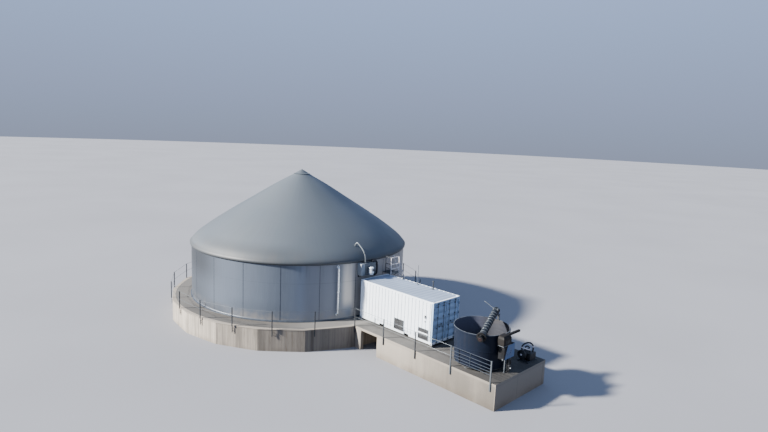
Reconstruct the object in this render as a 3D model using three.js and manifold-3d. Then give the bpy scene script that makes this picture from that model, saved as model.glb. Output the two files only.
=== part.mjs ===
// Farm biogas digester: a clad round tank under a membrane roof, set in a raised ring walkway,
// with a concrete platform that carries a technical container, a solids feeder and its drives.
// Millimetres, +Z up. X runs along the platform away from the tank's axis, Z starts at the lowest ground.
import * as THREE from "three";
import { mergeVertices } from "three/addons/utils/BufferGeometryUtils.js";
import Module from "manifold-3d";

// Seats and joints between neighbouring pieces
const SEAT = 0.4;
const DEG = Math.PI / 180;

// Tank
const TANK_R = 8050;
const TANK_WALL = 350;
const TANK_FLOOR = 250;
const EAVE_Z = 5250;
const WALL_PARTS = 8;
const TANK_SIDES = 72;

// Membrane roof: share of the rim radius and height of the outer skin
const ROOF_R = 8160;
const ROOF_SKIN = 80;
const ROOF_SIDES = 48;
const ROOF_SEAT_R = 7750;
const CLAMP_RAIL = { deep: 70, high: 80 };
const ROOF_PROFILE = [
  [0, 10780], [0.03, 10640], [0.1, 10300], [0.25, 9610], [0.45, 8600],
  [0.62, 7740], [0.76, 7000], [0.87, 6370], [0.95, 5850], [1, 5390],
];

// Ring wall with its walkway, railing posts bolted to its outer face
const WALK_Z = 1450;
const RING_R = 9440;
const RING_WALL = 250;
const WALK_SLAB = 200;
const WALK_IN_R = TANK_R - 60;
const RING_FROM = -13.6;
const RING_TO = -343.3;
const RING_PART = 48;
const RING_CHORD = 4;
const POST_SHIFT = 0.4;
const POST_FROM = RING_FROM - POST_SHIFT;
const POST_STEP = 16;
const POST = 50;
const POST_FOOT_Z = 990;
const RAIL_TOP_Z = 2630;
const RAIL_ROD_R = 14;
const RAIL_HEIGHTS = [RAIL_TOP_Z - 25, 2060];
const BAYS_PER_RAILING = 4;
const RAILINGS = 5;

// Platform with the culvert opening in its front wall
const PLAT_X = 19970;
const PLAT_FRONT = -2250;
const PLAT_BACK = 2710;
const PLAT_SLAB = 150;
const PLAT_WALL = 250;
const CULVERT_X0 = 9780;
const CULVERT_X1 = 11250;
const PILLAR_X0 = 9250;
const REAR_WALL_X0 = 9130;
const PLAT_POSTS = [11830, 14440, 17050];
const LAST_POST = 19650;
const TUBE_HEIGHTS = [2630, 2400, 2210, 2050, 1900];
const TUBE_R = 24;

// Technical container
const BOX = { x0: 8460, x1: 14758, y0: -1190, y1: 1248, z0: 1600, z1: 4191 };
const BOX_FLOOR = 160;
const BOX_WALL = 40;
const BOX_END = 50;
const BOX_ROOF = 60;
const BOX_POST = { deep: 120, wide: 70 };
const BOX_HEADER = 120;
const BOX_FOOT = 220;
const DOOR = { face: 14740, thick: 50, side: 8, middle: 7, low: 15, high: 12 };
const HINGE_OUT = 17;
const HINGE_IN = 40;
const KNUCKLE_R = 14;
const KNUCKLE_H = 60;
const KNUCKLE_LUG = 40;
const KNUCKLE_PLAY = 0.5;
const HINGE_ROWS = [0.1, 0.37, 0.63, 0.9];
const LOCK_ROD_R = 17;
const LOCK_ROD_OFF = 30;
const LOUVRES = [
  { name: "container_louvre_1", x0: 11660, x1: 12450, z0: 1770, z1: 2470 },
  { name: "container_louvre_2", x0: 13680, x1: 14450, z0: 1770, z1: 2450 },
];
const LOUVRE_OUT = 30;
const MAST = { x: 11480, y: 1030, r: 25, high: 1260, plate: 140 };
const STUB = { x: 12840, y: 970, r: 45, capR: 80, high: 550 };

// Pipes, relief valve cabinet and inspection deck on the cladding
const SIDE_PIPE = { angle: -18.2, r: 80, low: 1850, high: 5050 };
const GAS_PIPE = { x: 8250, y: -670, r: 65 };
const VESSEL = { off: 250, y: -480, r: 165, z0: 4450, z1: 4960, neckZ: 4700, neckR: 60 };
const VALVE_HOSE = { r: 65, x: 8280, y: 390 };
const VALVE = { y0: -1130, y1: 180, z0: 4380, z1: 5165, out: 8400 };
const DECK = { z: 4250, y0: 1290, y1: 2110, out: 8750 };
const RAIL_Z = [4870, 5350];
const LADDER = { left: 7960, right: 8420, footY: 3980, top: { y: 2310, z: 5260 } };
const RUNGS = { count: 10, share: 0.8 };

// Solids feeder
const TUB = { x: 17700, y: -500, rBase: 1410, rRim: 1550, z0: 1600, z1: 3560, wall: 30 };
const TUB_SIDES = 36;
const RIM_BAND = { r: 1565, h: 120 };
const TUB_FLOOR = 30;
const TUB_RING = { r0: 1120, r1: 1350, h: 70 };
const TUB_FEET = 6;
const FOOT = 180;
const AUGER_R = 175;
const AUGER_LOW = new THREE.Vector3(18600, -1740, 3550);
const AUGER_HIGH = new THREE.Vector3(17660, 860, 4150);
const AUGER_OUT = 150;
const AUGER_FLANGE = { r: 270, thick: 60 };
const AUGER_COLLAR = { r: 210, long: 60 };
const AUGER_ROD_END = new THREE.Vector3(16650, 1200, 4320);
const AUGER_ROD_R = 22;
const MOTOR = { r: 175, long: 240 };

// Drive unit against the tub, and pump unit by the rear edge
const DRIVE_HOUSING = { deep: 375, y0: -1270, y1: -550, z0: 3090, z1: 3640 };
const DRIVE_CABINET = { deep: 385, y0: -1150, y1: -200, z0: 2330, z1: 3100 };
const DRIVE_LEGS = [{ off: 145, y: -675 }, { off: 60, y: -330 }];
const DRIVE_PUMP = { off: 250, y: -430, r: 110 };
const PUMP = { x: 19150, y: 1350, z: 1830, motorR: 170, casingR: 260 };

// Colours of the pieces
const PAINT = {
  cladding: [0x9aa3ad, 0.42, 0.6],
  membrane: [0x9da1a0, 0.7, 0.0],
  clamp: [0x3c4145, 0.5, 0.6],
  concrete: [0xcfc8b8, 0.9, 0.0],
  galvanised: [0x7d8387, 0.5, 0.8],
  container: [0xe4e6e6, 0.5, 0.1],
  doors: [0xa9bccd, 0.5, 0.1],
  louvre: [0x55595c, 0.6, 0.4],
  tub: [0x2d3037, 0.55, 0.4],
  dark: [0x2a2a2b, 0.6, 0.4],
  drive: [0x7c746b, 0.6, 0.3],
  stainless: [0xc9ccce, 0.3, 0.9],
  white: [0xe8eaea, 0.5, 0.1],
  hose: [0x1d1e20, 0.8, 0.0],
};

const wasm = await Module();
wasm.setup();

const digester = new THREE.Group();
digester.name = "biogas_digester";

function add(name, geometry, paint) {
  const [color, roughness, metalness] = PAINT[paint];
  const mesh = new THREE.Mesh(geometry, new THREE.MeshStandardMaterial({ color, roughness, metalness }));
  mesh.name = name;
  digester.add(mesh);
  return mesh;
}

// A closed mesh as a solid that can be joined and cut
function solid(geometry) {
  const bare = (geometry.index ? geometry : geometry.clone()).clone();
  bare.deleteAttribute("normal");
  bare.deleteAttribute("uv");
  const welded = mergeVertices(bare, 0.001);
  return new wasm.Manifold(new wasm.Mesh({
    numProp: 3,
    vertProperties: new Float32Array(welded.attributes.position.array),
    triVerts: new Uint32Array(welded.index.array),
  }));
}

function surface(body) {
  const mesh = body.getMesh();
  const geometry = new THREE.BufferGeometry();
  geometry.setAttribute("position", new THREE.BufferAttribute(new Float32Array(mesh.vertProperties), 3));
  geometry.setIndex(new THREE.BufferAttribute(new Uint32Array(mesh.triVerts), 1));
  geometry.computeVertexNormals();
  return geometry;
}

function joined(geometries) {
  return surface(geometries.map(solid).reduce((whole, piece) => whole.add(piece)));
}

function cut(geometry, tools) {
  return surface(tools.map(solid).reduce((left, tool) => left.subtract(tool), solid(geometry)));
}

function block(x0, x1, y0, y1, z0, z1) {
  const geometry = new THREE.BoxGeometry(x1 - x0, y1 - y0, z1 - z0);
  return geometry.translate((x0 + x1) / 2, (y0 + y1) / 2, (z0 + z1) / 2);
}

function polar(r, angle) {
  return new THREE.Vector2(r * Math.cos(angle * DEG), r * Math.sin(angle * DEG));
}

function anglesBetween(from, to, step) {
  const turn = Math.sign(to - from);
  const count = Math.ceil(Math.abs(to - from) / step - 1e-6);
  return Array.from({ length: count + 1 }, (_, i) => (i === count ? to : from + turn * step * i));
}

function prism(points, z0, z1) {
  const outline = new THREE.Shape(points);
  const geometry = new THREE.ExtrudeGeometry(outline, { depth: z1 - z0, bevelEnabled: false });
  return geometry.translate(0, 0, z0);
}

// Piece of a ring between two radii and two polar angles
function sector(r0, r1, from, to, z0, z1, step) {
  const angles = anglesBetween(from, to, step);
  const outer = angles.map((angle) => polar(r1, angle));
  const inner = angles.map((angle) => polar(r0, angle)).reverse();
  return prism([...outer, ...inner], z0, z1);
}

// Solid of revolution about Z from [radius, height] points
function turned(profile, sides) {
  const points = profile.map(([r, z]) => new THREE.Vector2(r, z));
  return new THREE.LatheGeometry(points, sides).rotateX(Math.PI / 2);
}

function rod(from, to, r, sides = 8) {
  const along = to.clone().sub(from);
  const geometry = new THREE.CylinderGeometry(r, r, along.length(), sides);
  const upright = new THREE.Vector3(0, 1, 0);
  const turn = new THREE.Quaternion().setFromUnitVectors(upright, along.clone().normalize());
  const middle = from.clone().addScaledVector(along, 0.5);
  return geometry.applyQuaternion(turn).translate(middle.x, middle.y, middle.z);
}

function pipe(points, r, sides, steps, tension = 0.5) {
  const section = new THREE.Shape();
  section.setFromPoints(Array.from({ length: sides }, (_, i) => polar(r, (360 * i) / sides)));
  const extrudePath = new THREE.CatmullRomCurve3(points, false, "catmullrom", tension);
  return new THREE.ExtrudeGeometry(section, { extrudePath, steps, bevelEnabled: false });
}

const at = (x, y, z) => new THREE.Vector3(x, y, z);

// What fits against the cladding or the membrane is cut back to lie a seat's width off it
function tankBody() {
  const r = TANK_R + SEAT;
  return turned([[0, 0], [r, 0], [r, EAVE_Z], [0, EAVE_Z]], TANK_SIDES);
}

function roofBody() {
  const skin = ROOF_PROFILE.map(([share, z]) => [share * (ROOF_R + SEAT), z + SEAT]);
  return turned([[0, EAVE_Z], [ROOF_R + SEAT, EAVE_Z], ...skin.reverse()], ROOF_SIDES);
}

function buildTank() {
  const inner = TANK_R - TANK_WALL;
  const floorR = inner - SEAT;
  const slab = [[0, 0], [floorR, 0], [floorR, TANK_FLOOR], [0, TANK_FLOOR]];
  add("tank_floor", turned(slab, TANK_SIDES), "concrete");
  const span = 360 / WALL_PARTS;
  const joint = SEAT / TANK_R / DEG;
  for (let i = 0; i < WALL_PARTS; i += 1) {
    const from = i * span;
    const wall = sector(inner, TANK_R, from, from + span - joint, 0, EAVE_Z, 360 / TANK_SIDES);
    add(`tank_wall_${i + 1}`, wall, "cladding");
  }
}

function buildRoof() {
  const outer = ROOF_PROFILE.map(([share, z]) => [share * ROOF_R, z]);
  const everySecond = outer.slice(0, -1).filter((_, i) => i % 2 === 0);
  const inner = everySecond.map(([r, z]) => [r, z - ROOF_SKIN]).reverse();
  const skin = [...outer, [ROOF_R, EAVE_Z], [ROOF_SEAT_R, EAVE_Z], ...inner];
  add("roof_membrane", turned(skin.reverse(), ROOF_SIDES), "membrane");
  const r0 = TANK_R + SEAT;
  const r1 = r0 + CLAMP_RAIL.deep;
  const low = EAVE_Z - CLAMP_RAIL.high;
  const rail = [[r0, low], [r1, low], [r1, EAVE_Z], [r0, EAVE_Z]];
  add("roof_clamp_rail", turned([...rail, rail[0]], TANK_SIDES), "clamp");
}

function buildRing() {
  const joint = SEAT / RING_R / DEG;
  const wallIn = RING_R - RING_WALL;
  for (let i = 0, from = RING_FROM; from > RING_TO; i += 1, from -= RING_PART) {
    const to = Math.max(from - RING_PART, RING_TO) + joint;
    const wall = sector(wallIn, RING_R, from, to, 0, WALK_Z, RING_CHORD);
    const slabOut = wallIn + RING_WALL / 5;
    const slab = sector(WALK_IN_R, slabOut, from, to, WALK_Z - WALK_SLAB, WALK_Z, RING_CHORD);
    add(`ring_walkway_${i + 1}`, cut(joined([wall, slab]), [tankBody()]), "concrete");
  }
  const low = RING_FROM + joint;
  const high = RING_TO + 360 - joint;
  const under = sector(wallIn, RING_R, low, high, 0, WALK_Z - PLAT_SLAB, RING_CHORD);
  add("ring_wall_under_platform", under, "concrete");
}

// A post stands against a flat facet of the ring wall, so its seat follows from the facet's tilt
const FACET_TILT = (RING_CHORD / 2 - POST_SHIFT) * DEG;
const FACET_R = (RING_R * Math.cos((RING_CHORD / 2) * DEG)) / Math.cos(FACET_TILT);
const POST_IN_R = FACET_R + (POST / 2) * Math.tan(FACET_TILT) + SEAT;

function ringPoint(index, r, z) {
  const spot = polar(r, POST_FROM - POST_STEP * index);
  return at(spot.x, spot.y, z);
}

function ringPost(index) {
  const post = block(POST_IN_R, POST_IN_R + POST, -POST / 2, POST / 2, POST_FOOT_Z, RAIL_TOP_Z);
  return post.rotateZ((POST_FROM - POST_STEP * index) * DEG);
}

function buildRingRailing() {
  const postR = POST_IN_R + POST / 2;
  for (let part = 0; part < RAILINGS; part += 1) {
    const first = part * BAYS_PER_RAILING;
    const pieces = [];
    for (let i = first; i < first + BAYS_PER_RAILING; i += 1) {
      pieces.push(ringPost(i));
      for (const z of RAIL_HEIGHTS) {
        const start = ringPoint(i, postR, z);
        const end = ringPoint(i + 1, postR, z);
        const last = i === first + BAYS_PER_RAILING - 1 && part < RAILINGS - 1;
        const back = last ? (POST / 2 + 5) / start.distanceTo(end) : 0;
        pieces.push(rod(start, end.lerp(start, back), RAIL_ROD_R, 6));
      }
    }
    if (part === RAILINGS - 1) {
      pieces.push(ringPost(first + BAYS_PER_RAILING));
    }
    add(`ring_railing_${part + 1}`, joined(pieces), "galvanised");
  }
}

function buildPlatform() {
  const joint = SEAT / RING_R / DEG;
  const top = WALK_Z - PLAT_SLAB;
  const low = RING_FROM + joint;
  const high = RING_TO + 360 - joint;
  const alongTank = anglesBetween(high, low, RING_CHORD).map((angle) => polar(WALK_IN_R, angle));
  const outline = [
    polar(RING_R, low),
    new THREE.Vector2(PILLAR_X0, PLAT_FRONT),
    new THREE.Vector2(PLAT_X, PLAT_FRONT),
    new THREE.Vector2(PLAT_X, PLAT_BACK),
    new THREE.Vector2(REAR_WALL_X0, PLAT_BACK),
    polar(RING_R, high),
    ...alongTank,
  ];
  const inFront = PLAT_FRONT + PLAT_WALL;
  const inBack = PLAT_BACK - PLAT_WALL;
  add("platform_slab", cut(prism(outline, top, WALK_Z), [tankBody()]), "concrete");
  add("platform_front_wall", block(CULVERT_X1, PLAT_X, PLAT_FRONT, inFront, 0, top), "concrete");
  add("platform_pillar", block(PILLAR_X0, CULVERT_X0, PLAT_FRONT, inFront, 0, top), "concrete");
  add("platform_end_wall", block(PLAT_X - PLAT_WALL, PLAT_X, inFront, inBack, 0, top), "concrete");
  add("platform_rear_wall", block(REAR_WALL_X0, PLAT_X, inBack, PLAT_BACK, 0, top), "concrete");
  add("culvert_wall", block(CULVERT_X1, CULVERT_X1 + PLAT_WALL, inFront, inBack, 0, top), "concrete");
}

function platformPost(x) {
  const face = PLAT_FRONT - SEAT;
  return block(x - POST / 2, x + POST / 2, face - POST, face, POST_FOOT_Z, RAIL_TOP_Z);
}

function buildPlatformRailing() {
  const y = PLAT_FRONT - SEAT - POST / 2;
  const first = ringPoint(0, POST_IN_R + POST / 2, 0).x + POST;
  const last = PLAT_POSTS[PLAT_POSTS.length - 1];
  const rails = RAIL_HEIGHTS.map((z) => rod(at(first, y, z), at(last, y, z), RAIL_ROD_R, 6));
  add("platform_railing", joined([...PLAT_POSTS.map(platformPost), ...rails]), "galvanised");
  const start = last + POST / 2 + SEAT;
  const tubes = TUBE_HEIGHTS.map((top) => {
    const z = top - TUBE_R;
    return rod(at(start, y, z), at(LAST_POST, y, z), TUBE_R, 8);
  });
  add("tube_railing_panel", joined([platformPost(LAST_POST), ...tubes]), "galvanised");
}

function buildContainer() {
  const { x0, x1, y0, y1, z0, z1 } = BOX;
  const floorZ = z0 + BOX_FLOOR;
  const roofZ = z1 - BOX_ROOF;
  const wallEnd = x1 - BOX_POST.deep;
  const corners = [[x0, y0], [x1 - BOX_FOOT, y0], [x0, y1 - BOX_FOOT], [x1 - BOX_FOOT, y1 - BOX_FOOT]];
  const feet = corners.map(([x, y]) => block(x, x + BOX_FOOT, y, y + BOX_FOOT, WALK_Z, z0 + 20));
  add("container_floor", joined([block(x0, x1, y0, y1, z0, floorZ), ...feet]), "container");
  add("container_end_wall", block(x0, x0 + BOX_END, y0, y1, floorZ, roofZ), "container");
  add("container_front_wall", block(x0 + BOX_END, wallEnd, y0, y0 + BOX_WALL, floorZ, roofZ), "container");
  add("container_rear_wall", block(x0 + BOX_END, wallEnd, y1 - BOX_WALL, y1, floorZ, roofZ), "container");
  add("container_roof", block(x0, x1, y0, y1, roofZ, z1), "container");
  for (const { name, x0: left, x1: right, z0: low, z1: high } of LOUVRES) {
    add(name, block(left, right, y0 - LOUVRE_OUT, y0, low, high), "louvre");
  }
}

// The two hinge lines stand just proud of the rear frame, one over each corner post
const HINGE_X = BOX.x1 + HINGE_OUT;
const DOOR_EDGE = BOX_POST.wide + DOOR.side;
const DOOR_SIDES = [
  { name: "container_door_left", hinge: BOX.y0 + HINGE_IN, edge: BOX.y0 + DOOR_EDGE, way: 1 },
  { name: "container_door_right", hinge: BOX.y1 - HINGE_IN, edge: BOX.y1 - DOOR_EDGE, way: -1 },
];
const DOOR_Z0 = BOX.z0 + BOX_FLOOR + DOOR.low;
const DOOR_Z1 = BOX.z1 - BOX_ROOF - BOX_HEADER - DOOR.high;

function hingeHeights() {
  return HINGE_ROWS.map((share) => DOOR_Z0 + share * (DOOR_Z1 - DOOR_Z0));
}

function spanBlock(x0, x1, ya, yb, z0, z1) {
  return block(x0, x1, Math.min(ya, yb), Math.max(ya, yb), z0, z1);
}

function buildDoorFrame() {
  const { x1, y0, y1 } = BOX;
  const floorZ = BOX.z0 + BOX_FLOOR;
  const roofZ = BOX.z1 - BOX_ROOF;
  const inX = x1 - BOX_POST.deep;
  const pieces = [
    block(inX, x1, y0, y0 + BOX_POST.wide, floorZ, roofZ),
    block(inX, x1, y1 - BOX_POST.wide, y1, floorZ, roofZ),
    block(inX, x1, y0 + 10, y1 - 10, roofZ - BOX_HEADER, roofZ),
  ];
  for (const { hinge } of DOOR_SIDES) {
    for (const z of hingeHeights()) {
      for (const side of [-1, 1]) {
        const near = z + side * (KNUCKLE_H / 2 + KNUCKLE_PLAY);
        const far = near + side * KNUCKLE_LUG;
        pieces.push(rod(at(HINGE_X, hinge, near), at(HINGE_X, hinge, far), KNUCKLE_R, 8));
        const [low, high] = [Math.min(near, far), Math.max(near, far)];
        pieces.push(block(x1 - 5, HINGE_X, hinge - KNUCKLE_R + 2, hinge + KNUCKLE_R - 2, low, high));
      }
    }
  }
  add("container_door_frame", joined(pieces), "container");
}

function buildDoors() {
  const middle = (BOX.y0 + BOX.y1) / 2;
  const inner = DOOR.face - DOOR.thick;
  for (const { name, hinge, edge, way } of DOOR_SIDES) {
    const free = middle - way * DOOR.middle;
    const pieces = [spanBlock(inner, DOOR.face, edge, free, DOOR_Z0, DOOR_Z1)];
    for (const z of hingeHeights()) {
      const [low, high] = [z - KNUCKLE_H / 2, z + KNUCKLE_H / 2];
      pieces.push(rod(at(HINGE_X, hinge, low), at(HINGE_X, hinge, high), KNUCKLE_R, 8));
      pieces.push(spanBlock(HINGE_X - 9, HINGE_X + 3, hinge, edge + way * 70, low, high));
      pieces.push(spanBlock(DOOR.face - 5, HINGE_X + 3, edge + way * 4, edge + way * 70, low, high));
    }
    const width = Math.abs(free - edge);
    for (const share of [0.3, 0.78]) {
      const y = edge + way * share * width;
      const x = DOOR.face + LOCK_ROD_OFF;
      pieces.push(rod(at(x, y, DOOR_Z0 + 20), at(x, y, DOOR_Z1 - 20), LOCK_ROD_R, 6));
      for (const level of [0.06, 0.35, 0.65, 0.94]) {
        const z = DOOR_Z0 + level * (DOOR_Z1 - DOOR_Z0);
        pieces.push(block(DOOR.face - 5, x, y - 25, y + 25, z - 30, z + 30));
      }
    }
    add(name, joined(pieces), "doors");
  }
}

function buildRoofFittings() {
  const z = BOX.z1;
  const { x, y, r, high, plate } = MAST;
  const foot = block(x - plate / 2, x + plate / 2, y - plate / 2, y + plate / 2, z, z + 12);
  const mast = rod(at(x, y, z), at(x, y, z + high), r, 8);
  add("roof_mast", joined([foot, mast]), "galvanised");
  const stub = rod(at(STUB.x, STUB.y, z), at(STUB.x, STUB.y, z + STUB.high - 50), STUB.r, 10);
  const cap = rod(at(STUB.x, STUB.y, z + STUB.high - 70), at(STUB.x, STUB.y, z + STUB.high), STUB.capR, 10);
  add("roof_vent_stub", joined([stub, cap]), "galvanised");
}

// Pipe that leaves the cladding low down and enters it again under the eave
function buildTankPipe() {
  const { angle, r, low, high } = SIDE_PIPE;
  const spot = (radius, z) => {
    const p = polar(radius, angle);
    return at(p.x, p.y, z);
  };
  const out = TANK_R + r + 50;
  const near = TANK_R + 60;
  const inside = TANK_R - 60;
  const route = [
    spot(inside, low), spot(near, low), spot(out, low + 90), spot(out, low + 250),
    spot(out, (low + high) / 2),
    spot(out, high - 250), spot(out, high - 90), spot(near, high), spot(inside, high),
  ];
  add("tank_side_pipe", cut(pipe(route, r, 8, 22), [tankBody()]), "stainless");
}

function buildReliefValve() {
  const { y0, y1, z0, z1, out } = VALVE;
  add("relief_valve_cabinet", cut(block(TANK_R - 60, out, y0, y1, z0, z1), [tankBody()]), "galvanised");
  const { off, y, r, neckZ, neckR } = VESSEL;
  const x = out + off;
  const neck = rod(at(out + SEAT, y, neckZ), at(x, y, neckZ), neckR, 10);
  const vessel = rod(at(x, y, VESSEL.z0), at(x, y, VESSEL.z1), r, 20);
  add("relief_valve_vessel", joined([neck, vessel]), "white");
  const hang = VALVE_HOSE.x;
  const side = VALVE_HOSE.y;
  const route = [
    at(hang, -70, z1 - 65), at(hang, -70, z1 + 35), at(hang, 0, z1 + 80), at(hang, 120, z1 + 80),
    at(hang, 260, z1 + 35), at(hang, side - 30, z1 - 85), at(hang, side, 4800), at(hang, side - 5, 4480),
    at(hang - 35, side - 12, 4310), at(hang - 130, side - 20, 4230), at(TANK_R - 100, side - 25, 4200),
  ];
  const behind = block(TANK_R, out, y0, y1 + SEAT, z0, z1 + SEAT);
  add("relief_valve_hose", cut(pipe(route, VALVE_HOSE.r, 8, 26), [behind, tankBody()]), "hose");
}

// Gas line: out of the cabinet's top, up past the eave and over onto the membrane
function buildGasPipe() {
  const { x, y, r } = GAS_PIPE;
  const route = [
    at(x, y, VALVE.z1 + SEAT), at(x, y, 5300), at(x, y, 5420),
    at(x - 50, y, 5680), at(x - 250, y, 5980), at(7700, y - 20, 6240), at(7460, y - 50, 6400),
    at(7320, y - 90, 6300), at(7280, y - 110, 6080),
  ];
  add("gas_pipe", cut(pipe(route, r, 8, 30), [tankBody(), roofBody()]), "galvanised");
}

function buildInspectionDeck() {
  const { z: deckZ, y0, y1, out } = DECK;
  const behind = TANK_R - 500;
  const deck = block(behind, out, y0, y1, deckZ - 50, deckZ);
  const brace = (y) => rod(at(out - 80, y, deckZ - 30), at(behind, y, deckZ - 800), 22, 6);
  const braces = [y0 + 40, y1 - 40].map(brace);
  add("inspection_deck", cut(joined([deck, ...braces]), [tankBody()]), "galvanised");
  const inner = ROOF_R + 40;
  const posts = [[out - 20, y0 + 20], [out - 20, y1 - 20], [inner, y0 + 20]];
  const pieces = posts.map(([x, y]) => rod(at(x, y, deckZ + SEAT), at(x, y, RAIL_Z[1]), 20, 6));
  for (const z of RAIL_Z) {
    pieces.push(rod(at(inner, y0 + 20, z), at(out, y0 + 20, z), 17, 6));
    pieces.push(rod(at(out - 20, y0, z), at(out - 20, y1, z), 17, 6));
  }
  add("deck_guard_rail", joined(pieces), "galvanised");
}

function buildLadder() {
  const { left, right, top } = LADDER;
  const foot = { y: LADDER.footY, z: WALK_Z + SEAT };
  const pieces = [];
  for (const x of [left, right]) {
    pieces.push(rod(at(x, foot.y, foot.z + 12), at(x, top.y, top.z), 25, 6));
  }
  for (let i = 1; i <= RUNGS.count; i += 1) {
    const share = (i / (RUNGS.count + 1)) * RUNGS.share;
    const y = foot.y + share * (top.y - foot.y);
    const z = foot.z + share * (top.z - foot.z);
    pieces.push(rod(at(left, y, z), at(right, y, z), 15, 6));
  }
  const shoe = (x) => block(x - 40, x + 40, foot.y - 60, foot.y + 60, foot.z, foot.z + 20);
  const shoes = [left, right].map(shoe);
  add("deck_ladder", joined([...pieces, ...shoes]), "galvanised");
}

const AUGER_ALONG = AUGER_HIGH.clone().sub(AUGER_LOW).normalize();

function onAuger(distance) {
  return AUGER_LOW.clone().addScaledVector(AUGER_ALONG, distance);
}

function buildFeeder() {
  const { x, y, rBase, rRim, z0, z1, wall } = TUB;
  const band = z1 - RIM_BAND.h;
  const rAt = (z) => rBase + ((rRim - rBase) * (z - z0)) / (z1 - z0);
  const profile = [
    [rBase, z0], [rAt(band), band], [RIM_BAND.r, band], [RIM_BAND.r, z1],
    [rRim - wall, z1], [rBase - wall, z0],
  ];
  const shell = turned([...profile, profile[0]], TUB_SIDES).translate(x, y, 0);
  const notch = rod(onAuger(-600), onAuger(600), AUGER_R + SEAT, 16);
  add("feeder_tub", cut(shell, [notch]), "tub");
  const floor = turned([[0, z0 - TUB_FLOOR], [rBase, z0 - TUB_FLOOR], [rBase, z0], [0, z0]], TUB_SIDES);
  add("feeder_tub_floor", floor.translate(x, y, 0), "tub");
  const top = z0 - TUB_FLOOR;
  const { r0, r1, h } = TUB_RING;
  const ring = turned([[r0, top - h], [r1, top - h], [r1, top], [r0, top], [r0, top - h]], TUB_SIDES / 2);
  const feet = Array.from({ length: TUB_FEET }, (_, i) => {
    const spot = polar((r0 + r1) / 2, 30 + (360 * i) / TUB_FEET);
    const foot = block(-FOOT / 2, FOOT / 2, -FOOT / 2, FOOT / 2, WALK_Z, top - h / 2);
    return foot.translate(spot.x, spot.y, 0);
  });
  add("feeder_base_ring", joined([ring, ...feet]).translate(x, y, 0), "dark");
}

function buildAuger() {
  const length = AUGER_LOW.distanceTo(AUGER_HIGH);
  const end = onAuger(length);
  const tube = rod(onAuger(-AUGER_OUT), end, AUGER_R, 16);
  const collarStart = length - AUGER_COLLAR.long;
  const collar = rod(onAuger(collarStart), end, AUGER_COLLAR.r, 16);
  const reach = rod(onAuger(collarStart + 20), AUGER_ROD_END, AUGER_ROD_R, 6);
  add("auger_tube", joined([tube, collar, reach]), "galvanised");
  const face = -AUGER_OUT - SEAT;
  const back = face - AUGER_FLANGE.thick;
  const flange = rod(onAuger(back), onAuger(face), AUGER_FLANGE.r, 20);
  const motor = rod(onAuger(back - MOTOR.long), onAuger(back + 10), MOTOR.r, 16);
  add("auger_motor", joined([flange, motor]), "dark");
  const seat = onAuger(length - 200);
  const rimY = TUB.y + Math.sqrt((TUB.rRim - TUB.wall / 2) ** 2 - (seat.x - TUB.x) ** 2);
  const post = block(seat.x - 60, seat.x + 60, rimY - 40, rimY + 20, TUB.z1, seat.z - 100);
  const armLow = seat.z - AUGER_R - 60;
  const arm = block(seat.x - 60, seat.x + 60, seat.y - 60, rimY + 20, armLow, seat.z - 60);
  const beyond = onAuger(length + 300);
  const bed = rod(onAuger(0), beyond, AUGER_R + SEAT, 16);
  const collarBed = rod(onAuger(collarStart - SEAT), beyond, AUGER_COLLAR.r + SEAT, 16);
  add("auger_bracket", cut(joined([post, arm]), [bed, collarBed]), "galvanised");
}

function buildDriveUnit() {
  const x = TUB.x + RIM_BAND.r + SEAT;
  const [cabinet, housing] = [DRIVE_CABINET, DRIVE_HOUSING].map(({ deep, y0, y1, z0, z1 }) => (
    block(x, x + deep, y0, y1, z0, z1)));
  const beam = block(x, x + 120, DRIVE_HOUSING.y1 - 100, 700, 3420, 3540);
  const pumpX = x + DRIVE_PUMP.off;
  const pump = rod(
    at(pumpX, DRIVE_PUMP.y, WALK_Z), at(pumpX, DRIVE_PUMP.y, DRIVE_CABINET.z0 + 10), DRIVE_PUMP.r, 16);
  const pieces = [cabinet, housing, beam, pump];
  for (const { off, y } of DRIVE_LEGS) {
    pieces.push(block(x + off - 25, x + off + 25, y - 25, y + 25, WALK_Z + 20, DRIVE_CABINET.z0 + 10));
    pieces.push(block(x + off - 50, x + off + 50, y - 50, y + 50, WALK_Z, WALK_Z + 25));
  }
  add("feeder_drive_unit", joined(pieces), "drive");
}

function buildPump() {
  const { x, y, z, motorR, casingR } = PUMP;
  const skidTop = WALK_Z + 80;
  const skid = block(x - 200, x + 500, y, y + 1000, WALK_Z, skidTop);
  const casing = rod(at(x, y + 40, z), at(x, y + 270, z), casingR, 16);
  const motor = rod(at(x, y + 260, z), at(x, y + 900, z), motorR, 14);
  const cradle = block(x - 100, x + 100, y + 100, y + 850, skidTop - 10, z - 130);
  const gearbox = block(x + 200, x + 450, y + 320, y + 900, skidTop - 10, z + 100);
  const loop = [
    at(x, y + 160, z + 200), at(x - 50, y + 150, z + 420), at(x + 60, y + 280, z + 620),
    at(x + 240, y + 480, z + 670), at(x + 370, y + 640, z + 480), at(x + 360, y + 660, z + 60),
  ];
  const bend = [
    at(x + 20, y + 420, z + 120), at(x + 10, y + 400, z + 330), at(x + 120, y + 450, z + 440),
    at(x + 250, y + 500, z + 330), at(x + 270, y + 490, z + 60),
  ];
  const hoses = [pipe(loop, 45, 6, 14), pipe(bend, 40, 6, 10)];
  add("pump_unit", joined([skid, motor, casing, cradle, gearbox, ...hoses]), "dark");
}

buildTank();
buildRoof();
buildRing();
buildRingRailing();
buildPlatform();
buildPlatformRailing();
buildContainer();
buildDoorFrame();
buildDoors();
buildRoofFittings();
buildTankPipe();
buildReliefValve();
buildGasPipe();
buildInspectionDeck();
buildLadder();
buildFeeder();
buildAuger();
buildDriveUnit();
buildPump();

export default digester;
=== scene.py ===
import math

import bmesh
import bpy
from mathutils import Matrix, Vector


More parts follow.
